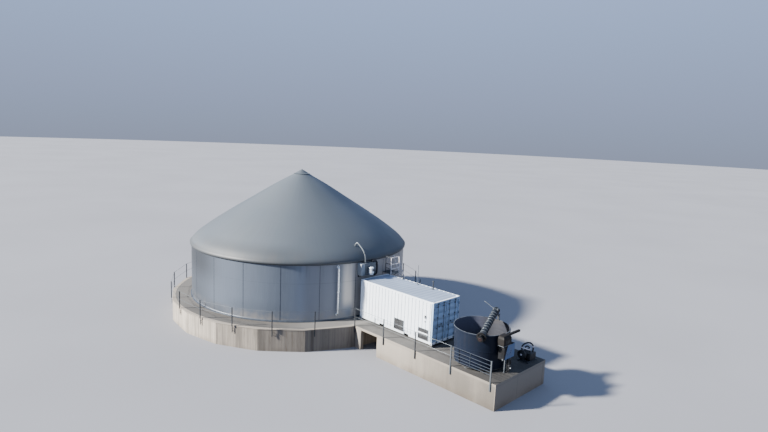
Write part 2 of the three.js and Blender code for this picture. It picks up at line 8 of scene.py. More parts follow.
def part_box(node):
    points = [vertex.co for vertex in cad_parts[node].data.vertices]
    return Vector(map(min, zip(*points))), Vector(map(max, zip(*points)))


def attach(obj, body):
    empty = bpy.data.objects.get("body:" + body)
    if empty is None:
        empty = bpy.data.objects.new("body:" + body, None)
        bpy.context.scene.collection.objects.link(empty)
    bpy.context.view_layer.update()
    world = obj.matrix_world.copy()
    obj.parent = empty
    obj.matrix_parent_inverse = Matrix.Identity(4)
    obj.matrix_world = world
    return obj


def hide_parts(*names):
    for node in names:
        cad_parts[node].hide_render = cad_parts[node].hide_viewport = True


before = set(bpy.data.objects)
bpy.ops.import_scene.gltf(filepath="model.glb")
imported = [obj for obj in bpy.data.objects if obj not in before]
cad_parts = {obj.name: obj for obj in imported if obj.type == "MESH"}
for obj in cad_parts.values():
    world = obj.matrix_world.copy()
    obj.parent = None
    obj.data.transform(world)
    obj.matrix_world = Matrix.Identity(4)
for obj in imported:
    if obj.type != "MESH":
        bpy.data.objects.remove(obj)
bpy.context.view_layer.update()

bl_info = {
    "name": "Clad biogas digester",
    "version": (1, 0, 0),
    "blender": (4, 5, 0),
    "location": "View3D > Sidebar > Digester",
    "description": "Dresses the packed digester: cladding, membrane roof, ring walkway, container, feeder and drives",
    "category": "Object",
}

# Named places that the pieces share, in metres and degrees

# Tank and roof. ON_TANK_R keeps just clear of the cladding, and the profile is (share of the radius, height)
TANK_R = 8.05
ON_TANK_R = TANK_R + 0.0005
TANK_IN_R = 7.7
EAVE_Z = 5.25
SEAM_FROM = -26.8
SEAM_STEP = 18.0
ROOF_R = 8.16
ROOF_PROFILE = [
    (0, 10.78), (0.03, 10.64), (0.1, 10.3), (0.25, 9.61), (0.45, 8.6),
    (0.62, 7.74), (0.76, 7.0), (0.87, 6.37), (0.95, 5.85), (1, 5.39),
]

# Ring wall and walkway. The corners of the formwork panels lie at FACET_R
WALK_Z = 1.45
RING_R = 9.44
RING_IN_R = 9.19
RING_FROM = -13.6
RING_TO = -343.3
FACET_FROM = -15.6
FACET_STEP = 18.0
FACET_R = 9.475
PANEL_PULL = 0.8

# Platform
PLAT_FRONT = -2.25
PLAT_REAR = 2.71
PLAT_END = 19.97
PLAT_SIDE_ANGLE = 16.7
SLAB_LOW = 1.3

# Railing posts, whose backs stand just clear of the ring wall and of the platform's front
POST_FROM = -14.0
POST_STEP = 16.0
POST_BACK_R = RING_R + 0.0145
POST_BACK_Y = PLAT_FRONT - 0.0045
POST_LOW = 0.99
POST_HIGH = 2.622
CAP_LOW = 2.618
CAP_HIGH = 2.63
CAP_LIP = 0.003
RAIL_HEIGHTS = (2.605, 2.06)

# Container
BOX_LO = Vector((8.46, -1.19, 1.6))
BOX_HI = Vector((14.758, 1.248, 4.191))
FLOOR_RAIL_TOP = 1.76
ROOF_RAIL_LOW = 4.131
ROOF_RAIL_TOP = 4.178
SHEET_LOW = 1.74
SHEET_RISE = (0, 0, 2.36)
SHEET_THICK = 0.003
CORNER_X, CORNER_Y, CORNER_Z = 0.178, 0.162, 0.118
FORK_POCKETS = ((10.34, 10.7), (12.52, 12.88))

# Container doors, left and right. LEAF_EDGES are each leaf's hinged and free edge, and ROD_SHARES say how far
# its two lock rods stand from the one to the other
HINGE_X = 14.775
HINGE_LINES = (BOX_LO.y + 0.04, BOX_HI.y - 0.04)
KNUCKLE_R = 0.014
KNUCKLE_HALF = 0.03
KNUCKLE_PLAY = 0.0005
DOOR_Z = (1.775, 3.999)
LEAF_EDGES = ((-1.112, 0.022), (1.17, 0.036))
ROD_X = 14.781
ROD_SHARES = (0.3, 0.78)
CAM_HEIGHTS = (1.68, 4.07)

# Solids feeder
TUB = Vector((17.7, -0.5, 0))
TUB_RIM_Z = 3.56
AUGER_LOW = Vector((18.6, -1.74, 3.55))
AUGER_HIGH = Vector((17.66, 0.86, 4.15))
AUGER_ALONG = (AUGER_HIGH - AUGER_LOW).normalized()
AUGER_LONG = (AUGER_HIGH - AUGER_LOW).length


def linear(code):
    """Turns an sRGB hex colour into the linear values that Blender works in."""
    values = [int(code[i:i + 2], 16) / 255 for i in (0, 2, 4)]
    return tuple(v / 12.92 if v <= 0.04045 else ((v + 0.055) / 1.055) ** 2.4 for v in values) + (1.0,)


def length_property(name, description, default):
    return bpy.props.FloatProperty(
        name=name, description=description, default=default, min=0.001, unit="LENGTH", subtype="DISTANCE")


def colour_property(name, description, code):
    return bpy.props.FloatVectorProperty(
        name=name, description=description, default=linear(code), size=4, min=0, max=1, subtype="COLOR")


class DigesterSizes(bpy.types.PropertyGroup):
    """Sizes of the details that the frame leaves open."""

    seam_width: length_property("Cladding seam", "Width of the cover strip over each upright panel seam", 0.03)
    plinth_out: length_property("Plinth ledge", "How far the ledge under the cladding stands out", 0.09)
    clamp_bolt_gap: length_property("Clamp bolt spacing", "Spacing of the bolts on the membrane's clamp rail", 0.32)
    post_side: length_property("Railing post", "Side of the square railing posts", 0.06)
    rail_rod: length_property("Railing rod", "Radius of the railing's thin rods", 0.009)
    rib_pitch: length_property("Wall corrugation pitch", "Pitch of the container's wall corrugations", 0.29)
    rib_depth: length_property("Wall corrugation depth", "Depth of the container's wall corrugations", 0.036)
    louvre_gap: length_property("Louvre blade spacing", "Spacing of the blades in the container's louvres", 0.055)
    auger_ring_gap: length_property("Auger ring spacing", "Spacing of the stiffening rings on the auger tube", 0.26)
    grating_gap: length_property("Deck grating spacing", "Spacing of the inspection deck's bearing bars", 0.045)


class DigesterColours(bpy.types.PropertyGroup):
    """Colours of the finishes."""

    cladding: colour_property("Cladding", "Coil coated cladding sheet", "565f6c")
    # This colour paints a reflection: the pale strip beside the side pipe, where the container's white shows in the
    # cladding, is painted into the sheet.
    band: colour_property("Bare strip", "Newer, paler cladding strip by the side pipe", "bfb9b2")
    membrane: colour_property("Membrane", "Coated gas membrane", "4e555b")
    ring_concrete: colour_property("Ring wall", "Cast concrete of the ring wall", "bbb1a3")
    walk_concrete: colour_property("Walkway", "Floated concrete of the walkway and platform", "484643")
    galvanised: colour_property("Galvanised steel", "Hot dip galvanised steel", "686e73")
    aluminium: colour_property("Aluminium", "Oxidised aluminium of the ladder and guard rail", "e8e3e4")
    railing: colour_property("Railing steel", "Weathered steel of the railing posts", "34373b")
    stainless: colour_property("Stainless pipe", "Stainless steel pipe", "e0e6ea")
    container: colour_property("Container paint", "White paint of the container", "eef6fd")
    # The door paint is a darker blue grey than the container's white: it paints the blue shade that the door end
    # stands in.
    doors: colour_property("Door paint", "Paint of the container's doors", "99b3cf")
    roof_sheet: colour_property("Container roof", "Weathered paint on the container's roof", "7f8c9f")
    louvre: colour_property("Louvre", "Louvre blades", "394047")
    tub: colour_property("Feeder tub", "Anthracite paint of the feeder tub", "151c2a")
    lining: colour_property("Tub lining", "Steel lining of the feeder tub", "24262f")
    drive: colour_property("Drive housing", "Grey brown enamel of the feeder's drive", "181615")
    guard_sheet: colour_property("Guard sheet", "Blue grey guard sheet", "46668f")
    auger: colour_property("Auger tube", "Slate grey enamel of the auger tube", "1c2229")
    tube_panel: colour_property("Tube panel", "Blue grey enamel of the panel of five tubes", "2c343f")
    valve_box: colour_property("Valve box", "Pale blue grey enamel of the relief set's side box", "8d959c")
    motor: colour_property("Motor enamel", "Black enamel of the auger's gear motor", "16171a")
    machine: colour_property("Machine paint", "Dark painted cast iron", "2a2b2d")
    rubber: colour_property("Hose rubber", "Black hose rubber", "141519")
    oxide: colour_property("Oxide primer", "Dull reddish hub of the auger drive", "27120f")
    rust: colour_property("Rust", "Rust on edges and fixings", "5e4232")
    soil: colour_property("Soil", "Splashed soil", "5a4f42")
    dust: colour_property("Dust", "Pale dried dust", "8f877c")


def sizes():
    return bpy.context.scene.digester_sizes


def colours():
    return bpy.context.scene.digester_colours


# Nodes and patterns of the finishes

def add_node(tree, kind, inputs=(), out=0, **settings):
    """Adds a node with its settings, values and links, and returns one of its outputs."""
    made = tree.nodes.new("ShaderNode" + kind)
    for key, value in settings.items():
        setattr(made, key, value)
    for key, value in inputs.items() if isinstance(inputs, dict) else enumerate(inputs):
        if isinstance(value, bpy.types.NodeSocket):
            tree.links.new(value, made.inputs[key])
        else:
            made.inputs[key].default_value = value
    return made.outputs[out] if made.outputs else made


def maths(tree, operation, *values):
    return add_node(tree, "Math", values, operation=operation)


def ramp(tree, value, start, full):
    """0 where the value is at start and 1 where it is at full, eased between them."""
    window = {"Value": value, "From Min": start, "From Max": full}
    return add_node(tree, "MapRange", window, interpolation_type="SMOOTHSTEP")


def start_finish(name):
    """The colours, an empty material, its node tree, and the place on the object that its patterns read."""
    material = bpy.data.materials.new(name)
    material.use_nodes = True
    tree = material.node_tree
    tree.nodes.clear()
    return colours(), material, tree, add_node(tree, "TexCoord", out="Object")


def end_finish(material, colour, rough, relief=(), metallic=0.0, shine=0.5):
    """Gives the shader its colour, its roughness, as a number or (pattern, low, high), its relief, as a
    pattern and its depth in metres, and how much it mirrors, and returns the material."""
    tree = material.node_tree
    sockets = {"Base Color": colour, "Metallic": metallic, "Roughness": rough, "Specular IOR Level": shine}
    if isinstance(rough, tuple):
        pattern, low, high = rough
        sockets["Roughness"] = add_node(tree, "MapRange", {"Value": pattern, "To Min": low, "To Max": high})
    if relief:
        height, depth = relief
        sockets["Normal"] = add_node(tree, "Bump", {"Height": height, "Distance": depth, "Strength": 0.6})
    add_node(tree, "OutputMaterial", {"Surface": add_node(tree, "BsdfPrincipled", sockets)})
    return material


def coats(tree, base, *layers):
    """Lays coats of colour over each other. A layer is its colour, its strength and where it lies. A number
    for a colour is the base, lighter or darker by that share. Each place is an output, or an output with the
    values where the coat starts and where it is full."""
    under = base
    for colour, strength, *places in layers:
        where = strength
        for place in places:
            where = maths(tree, "MULTIPLY", where, ramp(tree, *place) if isinstance(place, tuple) else place)
        coat = shade(base, colour) if isinstance(colour, float) else colour
        under = add_node(tree, "Mix", {0: where, 6: under, 7: coat}, out=2, data_type="RGBA")
    return under


def patches(tree, place, size_mm, low, high, stretch=(1, 1, 1)):
    """0 to 1 clouds about so many millimetres across; a stretch below 1 draws them out that way."""
    spot = add_node(tree, "Mapping", {"Vector": place, "Scale": stretch})
    noise = add_node(tree, "TexNoise", {"Vector": spot, "Scale": 1000 / size_mm, "Detail": 4.0})
    return ramp(tree, noise, low, high)


def joint_lines(tree, value, start, spacing, width):
    """1 on the line at start and on every spacing from it, 0 between them."""
    moved = maths(tree, "SUBTRACT", value, start)
    off_line = maths(tree, "PINGPONG", moved, spacing / 2)
    return ramp(tree, off_line, width / 2, width / 4)


def board_tones(tree, along, width_mm):
    """A tone from 0 to 1 for each form board of this width."""
    board = maths(tree, "SNAP", along, width_mm / 1000)
    return add_node(tree, "TexWhiteNoise", {"W": board}, noise_dimensions="1D")


def shade(colour, share):
    """The same colour, lighter or darker by a share."""
    return tuple(min(1.0, v * share) for v in colour[:3]) + (1.0,)


def round_tank(tree, place):
    """Polar angle in degrees, radius and height of a point on the tank, and its unrolled place in metres."""
    x, y, z = add_node(tree, "SeparateXYZ", [place]).node.outputs
    turn = maths(tree, "ARCTAN2", y, x)
    angle = maths(tree, "DEGREES", turn)
    flat = add_node(tree, "VectorMath", [place, (1, 1, 0)], operation="MULTIPLY")
    radius = add_node(tree, "VectorMath", [flat], out="Value", operation="LENGTH")
    arc = maths(tree, "MULTIPLY", turn, TANK_R)
    return angle, radius, z, add_node(tree, "CombineXYZ", [arc, radius, z])


# Finishes

def coil_coated_cladding():
    """Coil coated steel sheet, rolled flat and riveted on: satin with a faint upright brushing, each sheet
    a slightly other grey, dust splashed up its foot and rain streaks under the eave. Painted shade darkens
    the sheets towards the left edge and low down, painted light lifts the sheets on the shaded side, and
    the pale strip by the side pipe is a painted reflection of the container. The brushing is drawn 40 mm
    wide, coarser than the real rolling marks, so that it shows."""
    look, material, tree, place = start_finish("coil_coated_cladding")
    angle, _, height, unrolled = round_tank(tree, place)
    moved = maths(tree, "ADD", angle, -SEAM_FROM)
    sheet = maths(tree, "SNAP", moved, SEAM_STEP)
    tone = add_node(tree, "TexWhiteNoise", {"W": sheet}, noise_dimensions="1D")
    brushing = patches(tree, unrolled, 40, 0.3, 0.75, stretch=(1, 1, 0.03))
    wide = patches(tree, unrolled, 1300, 0.3, 0.72, stretch=(1, 1, 0.4))
    streak = patches(tree, unrolled, 200, 0.5, 0.8, stretch=(1, 1, 0.06))
    splash = patches(tree, unrolled, 500, 0.25, 0.7)
    cross_joint = joint_lines(tree, height, 4.0, 9.0, 0.03)
    out_of_sight = (angle, -170.0, -140.0)
    base = look.cladding
    colour = coats(
        tree, base,
        (0.8, 0.35, tone),
        (1.2, 0.4, wide),
        (0.75, 0.35, brushing),
        # Painted shade: the sheets grow darker towards the tank's left edge, most of all high up.
        (0.45, 1.0, (angle, -72.0, -100.0), out_of_sight),
        (0.2, 0.9, (angle, -70.0, -97.0), out_of_sight, (height, 2.9, 4.6)),
        # Painted shade: darker low down between about -76 and -40 degrees.
        (0.7, 0.5, (height, 3.0, 2.2), (angle, -76.0, -66.0), (angle, -40.0, -48.0)),
        # Painted light: the sheets on the shaded side are painted lighter, most of all near the edge of the shade,
        # and a dust tint warms this light.
        (1.45, 1.0, (angle, -44.0, -35.0), (angle, 95.0, 60.0)),
        (1.7, 0.7, (angle, -27.0, -23.0), (angle, -17.5, -19.0)),
        (1.75, 0.8, (angle, -38.0, -34.5), (angle, -25.0, -29.0)),
        (look.dust, 0.25, (angle, -37.0, -31.0), (angle, -12.0, -17.0)),
        # Painted reflected light: a warm pale tint where the container's white lights the shaded cladding, and the
        # pale strip by the side pipe, which paints the container's reflection.
        (shade(look.band, 0.7), 0.85, (angle, -12.0, -9.0), (angle, 60.0, 40.0)),
        (look.band, 0.95, (angle, -16.8, -13.8), (angle, -8.8, -11.6), (height, 1.9, 2.9)),
        (0.6, 0.3, streak, (height, 3.4, 5.2)),
        (look.dust, 0.4, (height, 2.3, 1.6), splash),
        (look.dust, 0.2, (height, 1.8, 1.5), (angle, -75.0, -60.0)),
        (look.soil, 0.4, (height, 1.6, 1.5)),
        (0.55, 0.7, (height, 2.4, 1.8), (angle, -69.0, -77.0), (angle, -170.0, -150.0)),
        (0.5, 0.35, cross_joint),
    )
    return end_finish(material, colour, (brushing, 0.46, 0.58), (wide, 0.01), metallic=0.15)


def seam_strip():
    """Folded cover strip of the same coated sheet with a sealing edge: reads as a thin dark line."""
    look, material, tree, place = start_finish("coated_seam_strip")
    stain = patches(tree, place, 330, 0.35, 0.75, stretch=(1, 1, 0.2))
    colour = coats(tree, shade(look.cladding, 0.6), (shade(look.cladding, 0.35), 0.8, stain))
    return end_finish(material, colour, 0.5, metallic=0.3)


def gas_membrane():
    """PVC coated polyester gas membrane, welded from gores: matt, drawn tight over the rim, the welds all
    but invisible, and dust washed down towards the eave. Painted shade darkens the side turned from the
    sun, the far left, the sunlit slope near the eave and the steep rim, and painted light lifts a band on
    the shaded right."""
    look, material, tree, place = start_finish("pvc_gas_membrane")
    angle, radius, height, unrolled = round_tank(tree, place)
    weld = joint_lines(tree, angle, 3.0, 10.0, 0.9)
    cloud = patches(tree, place, 2600, 0.3, 0.72)
    spread = maths(tree, "MULTIPLY", angle, 0.35)
    fan = add_node(tree, "CombineXYZ", [spread, 0.0, radius])
    wash = patches(tree, fan, 620, 0.4, 0.8, stretch=(1, 1, 0.12))
    dust = patches(tree, unrolled, 800, 0.35, 0.7)
    base = look.membrane
    colour = coats(
        tree, base,
        (0.88, 0.5, cloud),
        (1.07, 0.3, wash),
        (0.72, 0.1, weld, (radius, 0.8, 4.0)),
        # Painted shade and light: darker on the side turned from the sun, lighter in a band on the shaded right,
        # darker at the far left.
        (0.88, 0.9, (angle, -55.0, -30.0), (angle, 60.0, 35.0)),
        (1.1, 1.0, (angle, -12.0, 12.0), (angle, 80.0, 45.0)),
        (0.6, 0.5, (angle, -100.0, -135.0), (angle, -172.0, -150.0)),
        # Painted shade: darker on the sunlit slope near the eave, low on the shaded right, and on the steep rim that
        # faces the sun.
        (0.55, 0.8, (height, 6.5, 5.8), (angle, -105.0, -80.0), (angle, -25.0, -50.0)),
        (0.72, 0.8, (radius, 6.4, 7.6), (angle, -20.0, 2.0), (angle, 70.0, 45.0)),
        (0.5, 0.8, (height, 5.64, 5.44)),
        (look.soil, 0.12, dust, (height, 6.4, 5.5)),
        (0.8, 0.5, (radius, 0.75, 0.3)),
    )
    return end_finish(material, colour, (cloud, 0.5, 0.62), (wash, 0.002))


def cast_ring_concrete():
    """In-situ concrete cast against boards between flat formwork panels: warm cream, each board a little other,
    upright streaks. The panels turned from the sun are painted darker, a painted shade, and their soil streaks
    also warm it; the sunlit top edge is painted greyer, a painted shade."""
    look, material, tree, place = start_finish("cast_ring_concrete")
    angle, _, height, unrolled = round_tank(tree, place)
    arc = add_node(tree, "SeparateXYZ", [unrolled])
    moved = maths(tree, "ADD", angle, -FACET_FROM)
    panel = maths(tree, "SNAP", moved, FACET_STEP)
    board = board_tones(tree, arc, 170)
    narrow = joint_lines(tree, arc, 0.0, 0.17, 0.02)
    streak = patches(tree, unrolled, 260, 0.42, 0.74, stretch=(1, 1, 0.1))
    fine = patches(tree, unrolled, 90, 0.45, 0.8, stretch=(1, 1, 0.12))
    rib = patches(tree, unrolled, 330, 0.52, 0.68, stretch=(1, 1, 0.05))
    cloud = patches(tree, place, 1100, 0.3, 0.75)
    pits = patches(tree, place, 40, 0.3, 0.75)
    # The panels turned from the sun: painted shade darkens them, and soil streaks and ribs run on them, whose soil
    # colour also warms the painted shade.
    shaded_panels = ((panel, -80.0, -30.0), (panel, 40.0, 10.0))
    base = look.ring_concrete
    colour = coats(
        tree, base,
        (0.75, 0.5, cloud),
        (0.6, 0.6, board),
        (0.3, 0.9, *shaded_panels),
        (0.3, 0.5, streak),
        (look.soil, 0.7, fine, *shaded_panels),
        (0.12, 0.6, rib, (panel, -80.0, -50.0), (panel, 40.0, 10.0)),
        (0.62, 0.5, board, (panel, -60.0, -40.0), (panel, 40.0, 10.0)),
        (look.soil, 0.5, (height, 0.4, 0.0), cloud),
        (0.25, 0.5, narrow),
        (0.25, 0.5, joint_lines(tree, arc, 0.3, 0.68, 0.035)),
        (0.32, 0.5, joint_lines(tree, angle, FACET_FROM, FACET_STEP, 0.3)),
        # Painted shade: the sunlit top edge is painted darker.
        (0.47, 0.75, (height, 1.375, 1.395)),
    )
    raised = maths(tree, "ADD", pits, board)
    return end_finish(material, colour, 0.86, (raised, 0.006))


def floated_concrete():
    """Concrete floated by hand and left outdoors: grey beige, patchy, with soil and water marks; painted light
    lifts the walkway where the tank's shadow falls, and patches by the feeder are darker, partly stains and
    partly painted shade.
    """
    look, material, tree, place = start_finish("floated_concrete")
    angle, radius, _, _ = round_tank(tree, place)
    x = add_node(tree, "SeparateXYZ", [place])
    cloud = patches(tree, place, 1600, 0.3, 0.72)
    marks = patches(tree, place, 420, 0.45, 0.75)
    grit = patches(tree, place, 55, 0.25, 0.8)
    base = look.walk_concrete
    colour = coats(
        tree, base,
        (1.35, 0.5, cloud),
        (0.62, 0.5, marks),
        (look.soil, 0.4, patches(tree, place, 660, 0.3, 0.6), (radius, 8.7, 8.2)),
        (1.6, 0.35, patches(tree, place, 4000, 0.5, 0.7)),
        # Painted light: the outer walkway is painted lighter where the tank's shadow falls on it.
        (2.0, 0.9, (radius, 9.6, 9.2), (angle, -45.0, -30.0), (angle, 60.0, 30.0)),
        (1.75, 0.9, (radius, 9.6, 9.2), (angle, -84.0, -104.0), (angle, -178.0, -160.0)),
        # Darker in patches round and beyond the feeder: partly stains, partly painted shade deepening the shade
        # there.
        (0.4, 0.9, (x, 16.3, 18.3), patches(tree, place, 900, 0.2, 0.5)),
    )
    return end_finish(material, colour, 0.88, (grit, 0.006))


def cast_platform_concrete():
    """Platform walls cast against boards: cream grey with upright streaks and a pale slab edge; the end wall,
    which faces away from the sun, is painted lighter and warmer, a painted light.
    """
    look, material, tree, place = start_finish("cast_platform_concrete")
    x, y, z = add_node(tree, "SeparateXYZ", [place]).node.outputs
    along = maths(tree, "ADD", x, y)
    board = board_tones(tree, along, 210)
    pour_joint = joint_lines(tree, along, 1.6, 2.6, 0.03)
    slab_joint = joint_lines(tree, z, SLAB_LOW, 9.0, 0.02)
    streak = patches(tree, place, 300, 0.42, 0.75, stretch=(1, 1, 0.1))
    cloud = patches(tree, place, 1200, 0.3, 0.75)
    pits = patches(tree, place, 42, 0.3, 0.75)
    stain = patches(tree, place, 1300, 0.22, 0.56, stretch=(1, 1, 0.6))
    # The end wall faces away from the sun: painted light makes it lighter, and a soil tint warms it.
    end_face_painted_light = (x, PLAT_END - 0.05, PLAT_END - 0.02)
    base = shade(look.ring_concrete, 0.49)
    colour = coats(
        tree, base,
        (0.62, 0.6, cloud),
        (0.7, 0.4, board),
        (0.45, 0.5, streak),
        (1.12, 0.8, (x, 15.5, 13.0)),
        (0.5, 0.9, stain, (x, 14.5, 18.0)),
        (1.2, 0.9, end_face_painted_light),
        (look.soil, 0.15, end_face_painted_light),
        (look.soil, 0.6, (z, 0.55, 0.0), cloud),
        (0.4, 0.5, pour_joint),
        (0.92, 0.5, (z, 1.26, 1.34)),
        (0.4, 0.4, slab_joint),
    )
    return end_finish(material, colour, 0.88, (pits, 0.006))


def galvanised_steel():
    """Hot dip galvanised steel, a few years old: dull zinc with spangle patches and a little brown bleed.
    The spangle is drawn at 60 mm, coarser than the real 15 mm, so that it shows."""
    look, material, tree, place = start_finish("galvanised_steel")
    cells = add_node(tree, "TexVoronoi", {"Vector": place, "Scale": 16.0}, out="Color")
    spangle = add_node(tree, "SeparateXYZ", [cells])
    bleed = patches(tree, place, 250, 0.58, 0.8, stretch=(1, 1, 0.3))
    base = look.galvanised
    colour = coats(tree, base, (0.6, 0.6, spangle), (look.rust, 0.25, bleed))
    return end_finish(material, colour, (spangle, 0.4, 0.6), metallic=0.6)


def dark_railing_steel():
    """Railing steel gone dull and dark in the weather: reads almost black against the pale wall."""
    look, material, tree, place = start_finish("weathered_railing_steel")
    wear = patches(tree, place, 170, 0.45, 0.75, stretch=(1, 1, 0.4))
    rust = patches(tree, place, 110, 0.6, 0.8)
    base = look.railing
    colour = coats(tree, base, (1.9, 0.5, wear), (look.rust, 0.4, rust))
    return end_finish(material, colour, 0.6, metallic=0.3)


def ladder_aluminium():
    """Extruded aluminium under a white bloom of oxide: pale, silky and a little blotched."""
    look, material, tree, place = start_finish("oxidised_aluminium")
    bloom = patches(tree, place, 140, 0.4, 0.75)
    base = look.aluminium
    colour = coats(tree, base, (0.7, 0.5, bloom))
    return end_finish(material, colour, (bloom, 0.38, 0.6))


def brushed_stainless():
    """Welded stainless pipe, brushed along its length: bright, with a slight haze."""
    look, material, tree, place = start_finish("brushed_stainless")
    brush = patches(tree, place, 33, 0.3, 0.75, stretch=(1, 1, 0.05))
    haze = patches(tree, place, 700, 0.4, 0.8)
    base = look.stainless
    colour = coats(tree, base, (0.8, 0.3, brush), (1.15, 0.5, haze))
    return end_finish(material, colour, (haze, 0.2, 0.32), metallic=0.8)


def painted_steel(name, paint, rust_share=0.3, roughness=0.48, grime=0.2):
    """Sprayed paint on pressed steel: satin, chalked by the sun, with rust at chips and grime in runs."""
    look, material, tree, place = start_finish(name)
    height = add_node(tree, "SeparateXYZ", [place], out="Z")
    chalk = patches(tree, place, 1200, 0.3, 0.75)
    runs = patches(tree, place, 170, 0.5, 0.78, stretch=(1, 1, 0.08))
    chips = patches(tree, place, 140, 0.66, 0.74)
    grain = patches(tree, place, 34, 0.3, 0.8)
    base = paint
    colour = coats(
        tree, base,
        (0.84, 0.4, chalk),
        (look.soil, grime, runs),
        (look.soil, 0.15, (height, 2.1, 1.65)),
        (look.rust, rust_share, chips),
    )
    return end_finish(material, colour, (chalk, roughness - 0.06, roughness + 0.12), (grain, 0.0015))


def weathered_roof_paint():
    """Roof paint under standing water and leaves: blue grey and wet in places, brown at the tank end."""
    look, material, tree, place = start_finish("weathered_roof_paint")
    x, y, _ = add_node(tree, "SeparateXYZ", [place]).node.outputs
    spread = patches(tree, place, 550, 0.35, 0.6)
    puddle = patches(tree, place, 1400, 0.42, 0.7, stretch=(0.6, 1, 1))
    specks = patches(tree, place, 110, 0.6, 0.75)
    base = look.roof_sheet
    colour = coats(
        tree, base,
        (1.3, 0.7, puddle),
        (0.7, 0.5, specks),
        (look.soil, 0.55, spread, (x, 10.0, 8.8), (y, -0.7, -1.1)),
        (0.55, 0.5, spread, (x, 9.9, 8.9)),
    )
    return end_finish(material, colour, (puddle, 0.5, 0.28), (specks, 0.002))


def anthracite_tub_paint():
    """Thick anthracite coating on a feeder tub: satin, worn bright on the rim by feed and shovel, with
    dusty runs down the side."""
    look, material, tree, place = start_finish("anthracite_tub_paint")
    height = add_node(tree, "SeparateXYZ", [place], out="Z")
    wear = patches(tree, place, 400, 0.3, 0.6)
    runs = patches(tree, place, 200, 0.45, 0.75, stretch=(1, 1, 0.12))
    dust = patches(tree, place, 900, 0.35, 0.75)
    base = look.tub
    colour = coats(
        tree, base,
        (0.6, 0.6, dust),
        (look.soil, 0.04, runs),
        (look.galvanised, 0.6, wear, (height, TUB_RIM_Z - 0.015, TUB_RIM_Z - 0.003)),
    )
    return end_finish(material, colour, (dust, 0.45, 0.65), (dust, 0.004), shine=0.12)


def worn_feed_lining():
    """Bare steel lining scoured by feed: grey and dull, with scrape marks round the tub; its inner wall on the
    side turned from the sun is painted paler, a painted light, and it is painted darker low down, a painted
    shade deep in the tub."""
    look, material, tree, place = start_finish("scoured_tub_lining")
    x, _, height = add_node(tree, "SeparateXYZ", [place]).node.outputs
    scrape = patches(tree, place, 400, 0.35, 0.7, stretch=(0.5, 0.5, 6))
    crust = patches(tree, place, 700, 0.4, 0.7)
    base = look.lining
    colour = coats(
        tree, base,
        (0.55, 0.6, scrape),
        (look.soil, 0.15, crust),
        # Painted light: the inner wall on the side turned from the sun is painted much paler.
        (4.8, 0.8, (x, 17.2, 16.5)),
        # Painted shade: darker low down, deep in the tub.
        (0.3, 0.8, (height, 3.0, 1.8)),
    )
    return end_finish(material, colour, 0.6, (scrape, 0.004), metallic=0.1)


def machine_enamel(name, paint, dull=0.5, shine=0.5, dusty=0.12):
    """Brushed machine enamel on cast iron and plate: oily dark patches and spots of dust."""
    look, material, tree, place = start_finish(name)
    oil = patches(tree, place, 330, 0.45, 0.7)
    dust = patches(tree, place, 140, 0.45, 0.8)
    grain = patches(tree, place, 25, 0.3, 0.8)
    base = paint
    colour = coats(tree, base, (0.6, 0.6, oil), (look.soil, dusty, dust))
    return end_finish(material, colour, (oil, dull + 0.1, dull - 0.15), (grain, 0.0015), metallic=0.1, shine=shine)


def black_hose_rubber():
    """Moulded hose rubber over its fabric: black and dull, grey where dust sits."""
    look, material, tree, place = start_finish("black_hose_rubber")
    dust = patches(tree, place, 200, 0.4, 0.8)
    grain = patches(tree, place, 17, 0.3, 0.7)
    colour = coats(tree, look.rubber, (look.soil, 0.15, dust))
    return end_finish(material, colour, 0.62, (grain, 0.001))


def studio_floor():
    """Matt studio floor paint, rolled on: pale grey."""
    _, material, tree, place = start_finish("matt_studio_floor")
    cloud = patches(tree, place, 20000, 0.3, 0.7)
    return end_finish(material, coats(tree, linear("84858a"), (linear("7f8085"), 1.0, cloud)), 0.9)


FINISHES = {}


def finish(name):
    """Each finish is made once, the first time that a piece asks for it."""
    if name not in FINISHES:
        look = colours()
        makers = {
            "cladding": coil_coated_cladding,
            "seam": seam_strip,
            "membrane": gas_membrane,
            "ring_concrete": cast_ring_concrete,
            "walk_concrete": floated_concrete,
            "platform_concrete": cast_platform_concrete,
            "galvanised": galvanised_steel,
            "dark_steel": dark_railing_steel,
            "aluminium": ladder_aluminium,
            "stainless": brushed_stainless,
            "container": lambda: painted_steel("container_white_paint", look.container, 0.12, grime=0.06),
            # The doors' darker blue grey paint is a painted shade of the door end.
            "doors": lambda: painted_steel("door_paint_with_painted_shade", look.doors, rust_share=0.3),
            "roof_sheet": weathered_roof_paint,
            "louvre": lambda: painted_steel("louvre_paint", look.louvre, rust_share=0.1, grime=0.3),
            "tub": anthracite_tub_paint,
            "lining": worn_feed_lining,
            "drive": lambda: machine_enamel("drive_housing_enamel", look.drive, 0.6, 0.2, 0.05),
            "guard": lambda: machine_enamel("guard_sheet_enamel", look.guard_sheet, 0.4),
            "slate": lambda: machine_enamel("auger_slate_enamel", look.auger, 0.5, 0.15),
            "tube": lambda: machine_enamel("tube_panel_enamel", look.tube_panel, 0.55, 0.25),
            "motor": lambda: machine_enamel("black_motor_enamel", look.motor, 0.6, 0.2),
            "machine": lambda: machine_enamel("dark_machine_enamel", look.machine),
            "valve_box": lambda: machine_enamel("valve_box_enamel", look.valve_box),
            "oxide": lambda: machine_enamel("oxide_primer", look.oxide, 0.6),
            "white": lambda: machine_enamel("white_vessel_enamel", look.container, 0.35),
            "rubber": black_hose_rubber,
        }
        FINISHES[name] = makers[name]()
    return FINISHES[name]


# Shapes: their makers return a closed bmesh that a piece then takes

def polar(r, degrees, z=0.0):
    """The point at this radius, polar angle and height."""
    turn = math.radians(degrees)
    return Vector((r * math.cos(turn), r * math.sin(turn), z))


